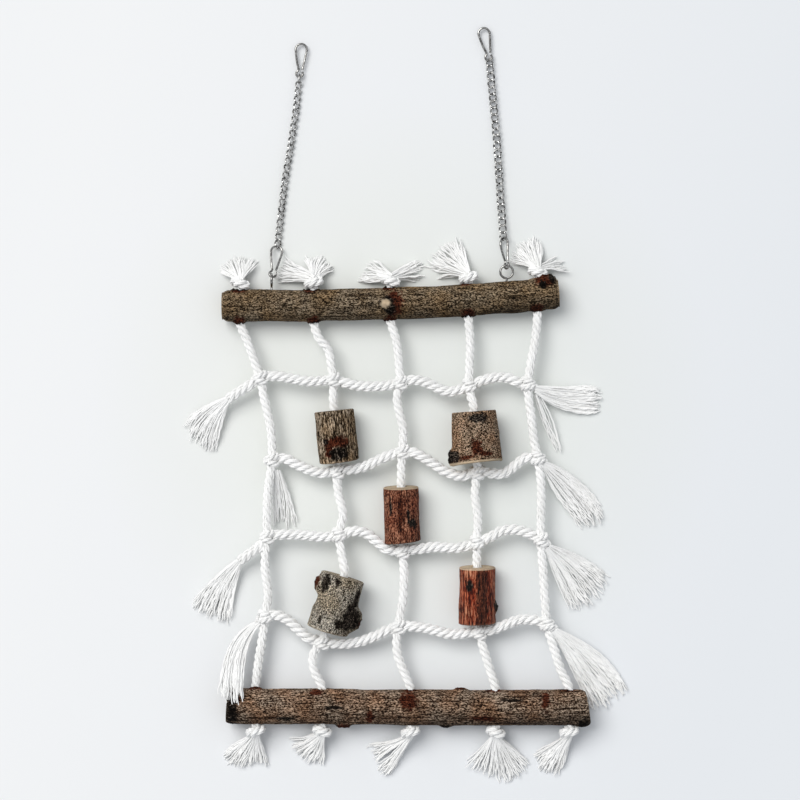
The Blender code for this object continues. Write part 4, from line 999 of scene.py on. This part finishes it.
def set_hook(name, origin, heading, slope, roll):
    """Bends one snap hook and its gate; gives the top of its bow."""
    length = direction_at(heading, slope)
    level = length.cross(Vector((0, 0, 1))).normalized()
    across = level * cos(roll) + level.cross(length) * sin(roll)

    def place(x, y):
        return origin + across * x + length * y

    outline = [CATCH, (HOOK_BOW, BOW_CENTRE - CATCH_DROP / 2)]
    for k in range(BOW_STEPS + 1):
        angle = pi * k / BOW_STEPS
        outline.append((HOOK_BOW * cos(angle), BOW_CENTRE + HOOK_BOW * sin(angle)))
    bow_end = outline[-1]
    leg = Vector((-HOOK_THROAT, HOOK_EYE + HOOK_WIRE)) - Vector(bow_end)
    for share in (0.05, 0.12, 0.3, 0.6, 0.85, 0.95, 1.0):
        bow = LEG_BOW * sin(pi * share)
        outline.append((bow_end[0] + leg.x * share - bow, bow_end[1] + leg.y * share))
    for k in range(EYE_STEPS + 1):
        angle = radians(120 + 280 * k / EYE_STEPS)
        outline.append((HOOK_EYE * cos(angle), HOOK_EYE * sin(angle)))
    wires = [[place(*point) for point in outline]]
    wire_piece(f"steel_{name}", wires, HOOK_WIRE, hook_steel, name, f"{name}_body")
    root = Vector((HOOK_EYE * cos(radians(40)), HOOK_EYE * sin(radians(40)) + GATE_LIFT + HOOK_WIRE))
    rise = Vector(CATCH) - root
    tip = root + rise * (1 - GAP / rise.length)
    wires = [[place(*root.lerp(tip, k / 4)) for k in range(5)]]
    wire_piece(f"steel_{name}_gate", wires, HOOK_WIRE, hook_steel, f"{name}_gate", f"{name}_gate_body")
    return place(0, BOW_CENTRE + HOOK_BOW)


bow_tops = {}
for side, eye_x in EYES_X.items():
    centre = at(eye_x, axis_at(TOP_AXIS, eye_x) + EYE_OUT, TOP_HEIGHT)
    centre.y += EYE_NECK + EYE_RING + EYE_WIRE
    spoke = Vector((0, 0, 1)) if side == "left" else Vector((1, 0, 0))
    shank_end = EYE_RING + EYE_WIRE + EYE_NECK + SHANK_LENGTH
    shank = [centre - Vector((0, shank_end - SHANK_STEP * k, 0)) for k in range(SHANK_POINTS)]
    ring_points = []
    for k in range(RING_POINTS + 1):
        angle = radians(-178 + 352 * k / RING_POINTS)
        ring_points.append(centre + EYE_RING * (Vector((0, 1, 0)) * cos(angle) + spoke * sin(angle)))
    bend = centre - Vector((0, EYE_RING + EYE_BEND, 0))
    wires = [shank + [bend] + ring_points]
    wire_piece(f"steel_screw_eye_{side}", wires, EYE_WIRE, hook_steel, f"screw_eye_{side}", "top_band")
    heading, roll = HOOK_HEADINGS[side], HOOK_ROLLS[side]
    seat = HOOK_EYE - HOOK_WIRE - EYE_WIRE - GAP
    if side == "left":
        reach = EYE_RING + seat + BOW_CENTRE + HOOK_BOW
        slope = asin((centre.z - LAYOUT.z - CHAIN_HEIGHT) / reach)
        origin = centre + direction_at(heading, slope) * (EYE_RING + seat)
    else:
        slope = RIGHT_HOOK_SLOPE
        origin = centre + Vector((0, EYE_RING, 0))
    bow_tops[side] = set_hook(f"lower_hook_{side}", origin, heading, slope, roll)


# Chains: twisted curb links of bright plated wire, twenty-five on the left and twenty-six on the
# right. Each hangs on the lower hook's bow, drops to the table and ends in the upper hook's small eye.
# Painted reflection: the links are painted from near black to near white along the wire, standing in for
# reflections of a dark and bright room
link_steel = painted_reflection_steel(
    "plated_links_with_painted_reflections", (0.055, 0.053, 0.05), (0.46, 0.455, 0.445), (0.94, 0.935, 0.92),
)
LINK_WIRE = 0.00065
LINK_INSIDE = (0.0047, 0.0034)
LINK_PITCH = 0.005
LINK_STEPS = 28
CHAIN_HEADINGS = {"left": (6, 7, 9.5, 8.5, 5.5), "right": (-4, -3.5, -4, -5.5, -5.5)}
CHAIN_LINKS = {"left": (5, 5, 5, 5, 5), "right": (5, 5, 5, 5, 6)}
half_length = LINK_INSIDE[0] / 2 + LINK_WIRE
half_width = LINK_INSIDE[1] / 2 + LINK_WIRE
for side in EYES_X:
    end = bow_tops[side]
    start_turn = HOOK_ROLLS[side] - pi / 2
    end_turn = start_turn + pi / 2
    for segment, (heading, count) in enumerate(zip(CHAIN_HEADINGS[side], CHAIN_LINKS[side])):
        drop = max(0.0, end.z - LAYOUT.z - CHAIN_HEIGHT)
        direction = direction_at(radians(heading), asin(drop / (LINK_PITCH * count)))
        level = direction.cross(Vector((0, 0, 1))).normalized()
        seat = HOOK_WIRE + LINK_WIRE + GAP if segment == 0 else 2 * LINK_WIRE + GAP
        start = end - direction * seat
        wires = []
        for index in range(count):
            final_turn = end_turn
            if segment == 4 and index == count - 1:
                final_turn = pi / 2 if end_turn > 0 else -pi / 2
            middle = start + direction * (half_length + LINK_PITCH * index)
            link = []
            for k in range(LINK_STEPS):
                angle = 2 * pi * k / LINK_STEPS
                turn = start_turn + (final_turn - start_turn) * (1 + cos(angle)) / 2
                across = level * cos(turn) + level.cross(direction) * sin(turn)
                link.append(middle + direction * half_length * cos(angle) + across * half_width * sin(angle))
            wires.append(link)
        name = f"chain_{side}_{segment + 1}"
        wire_piece(f"steel_{name}", wires, LINK_WIRE, link_steel, name, f"{name}_body", closed=True)
        end = start + direction * (2 * half_length + LINK_PITCH * (count - 1))
    heading = UPPER_HOOK_HEADINGS[side]
    origin = end - direction * (HOOK_WIRE + LINK_WIRE + GAP) + direction_at(heading, 0) * HOOK_EYE
    set_hook(f"upper_hook_{side}", origin, heading, 0, 0)
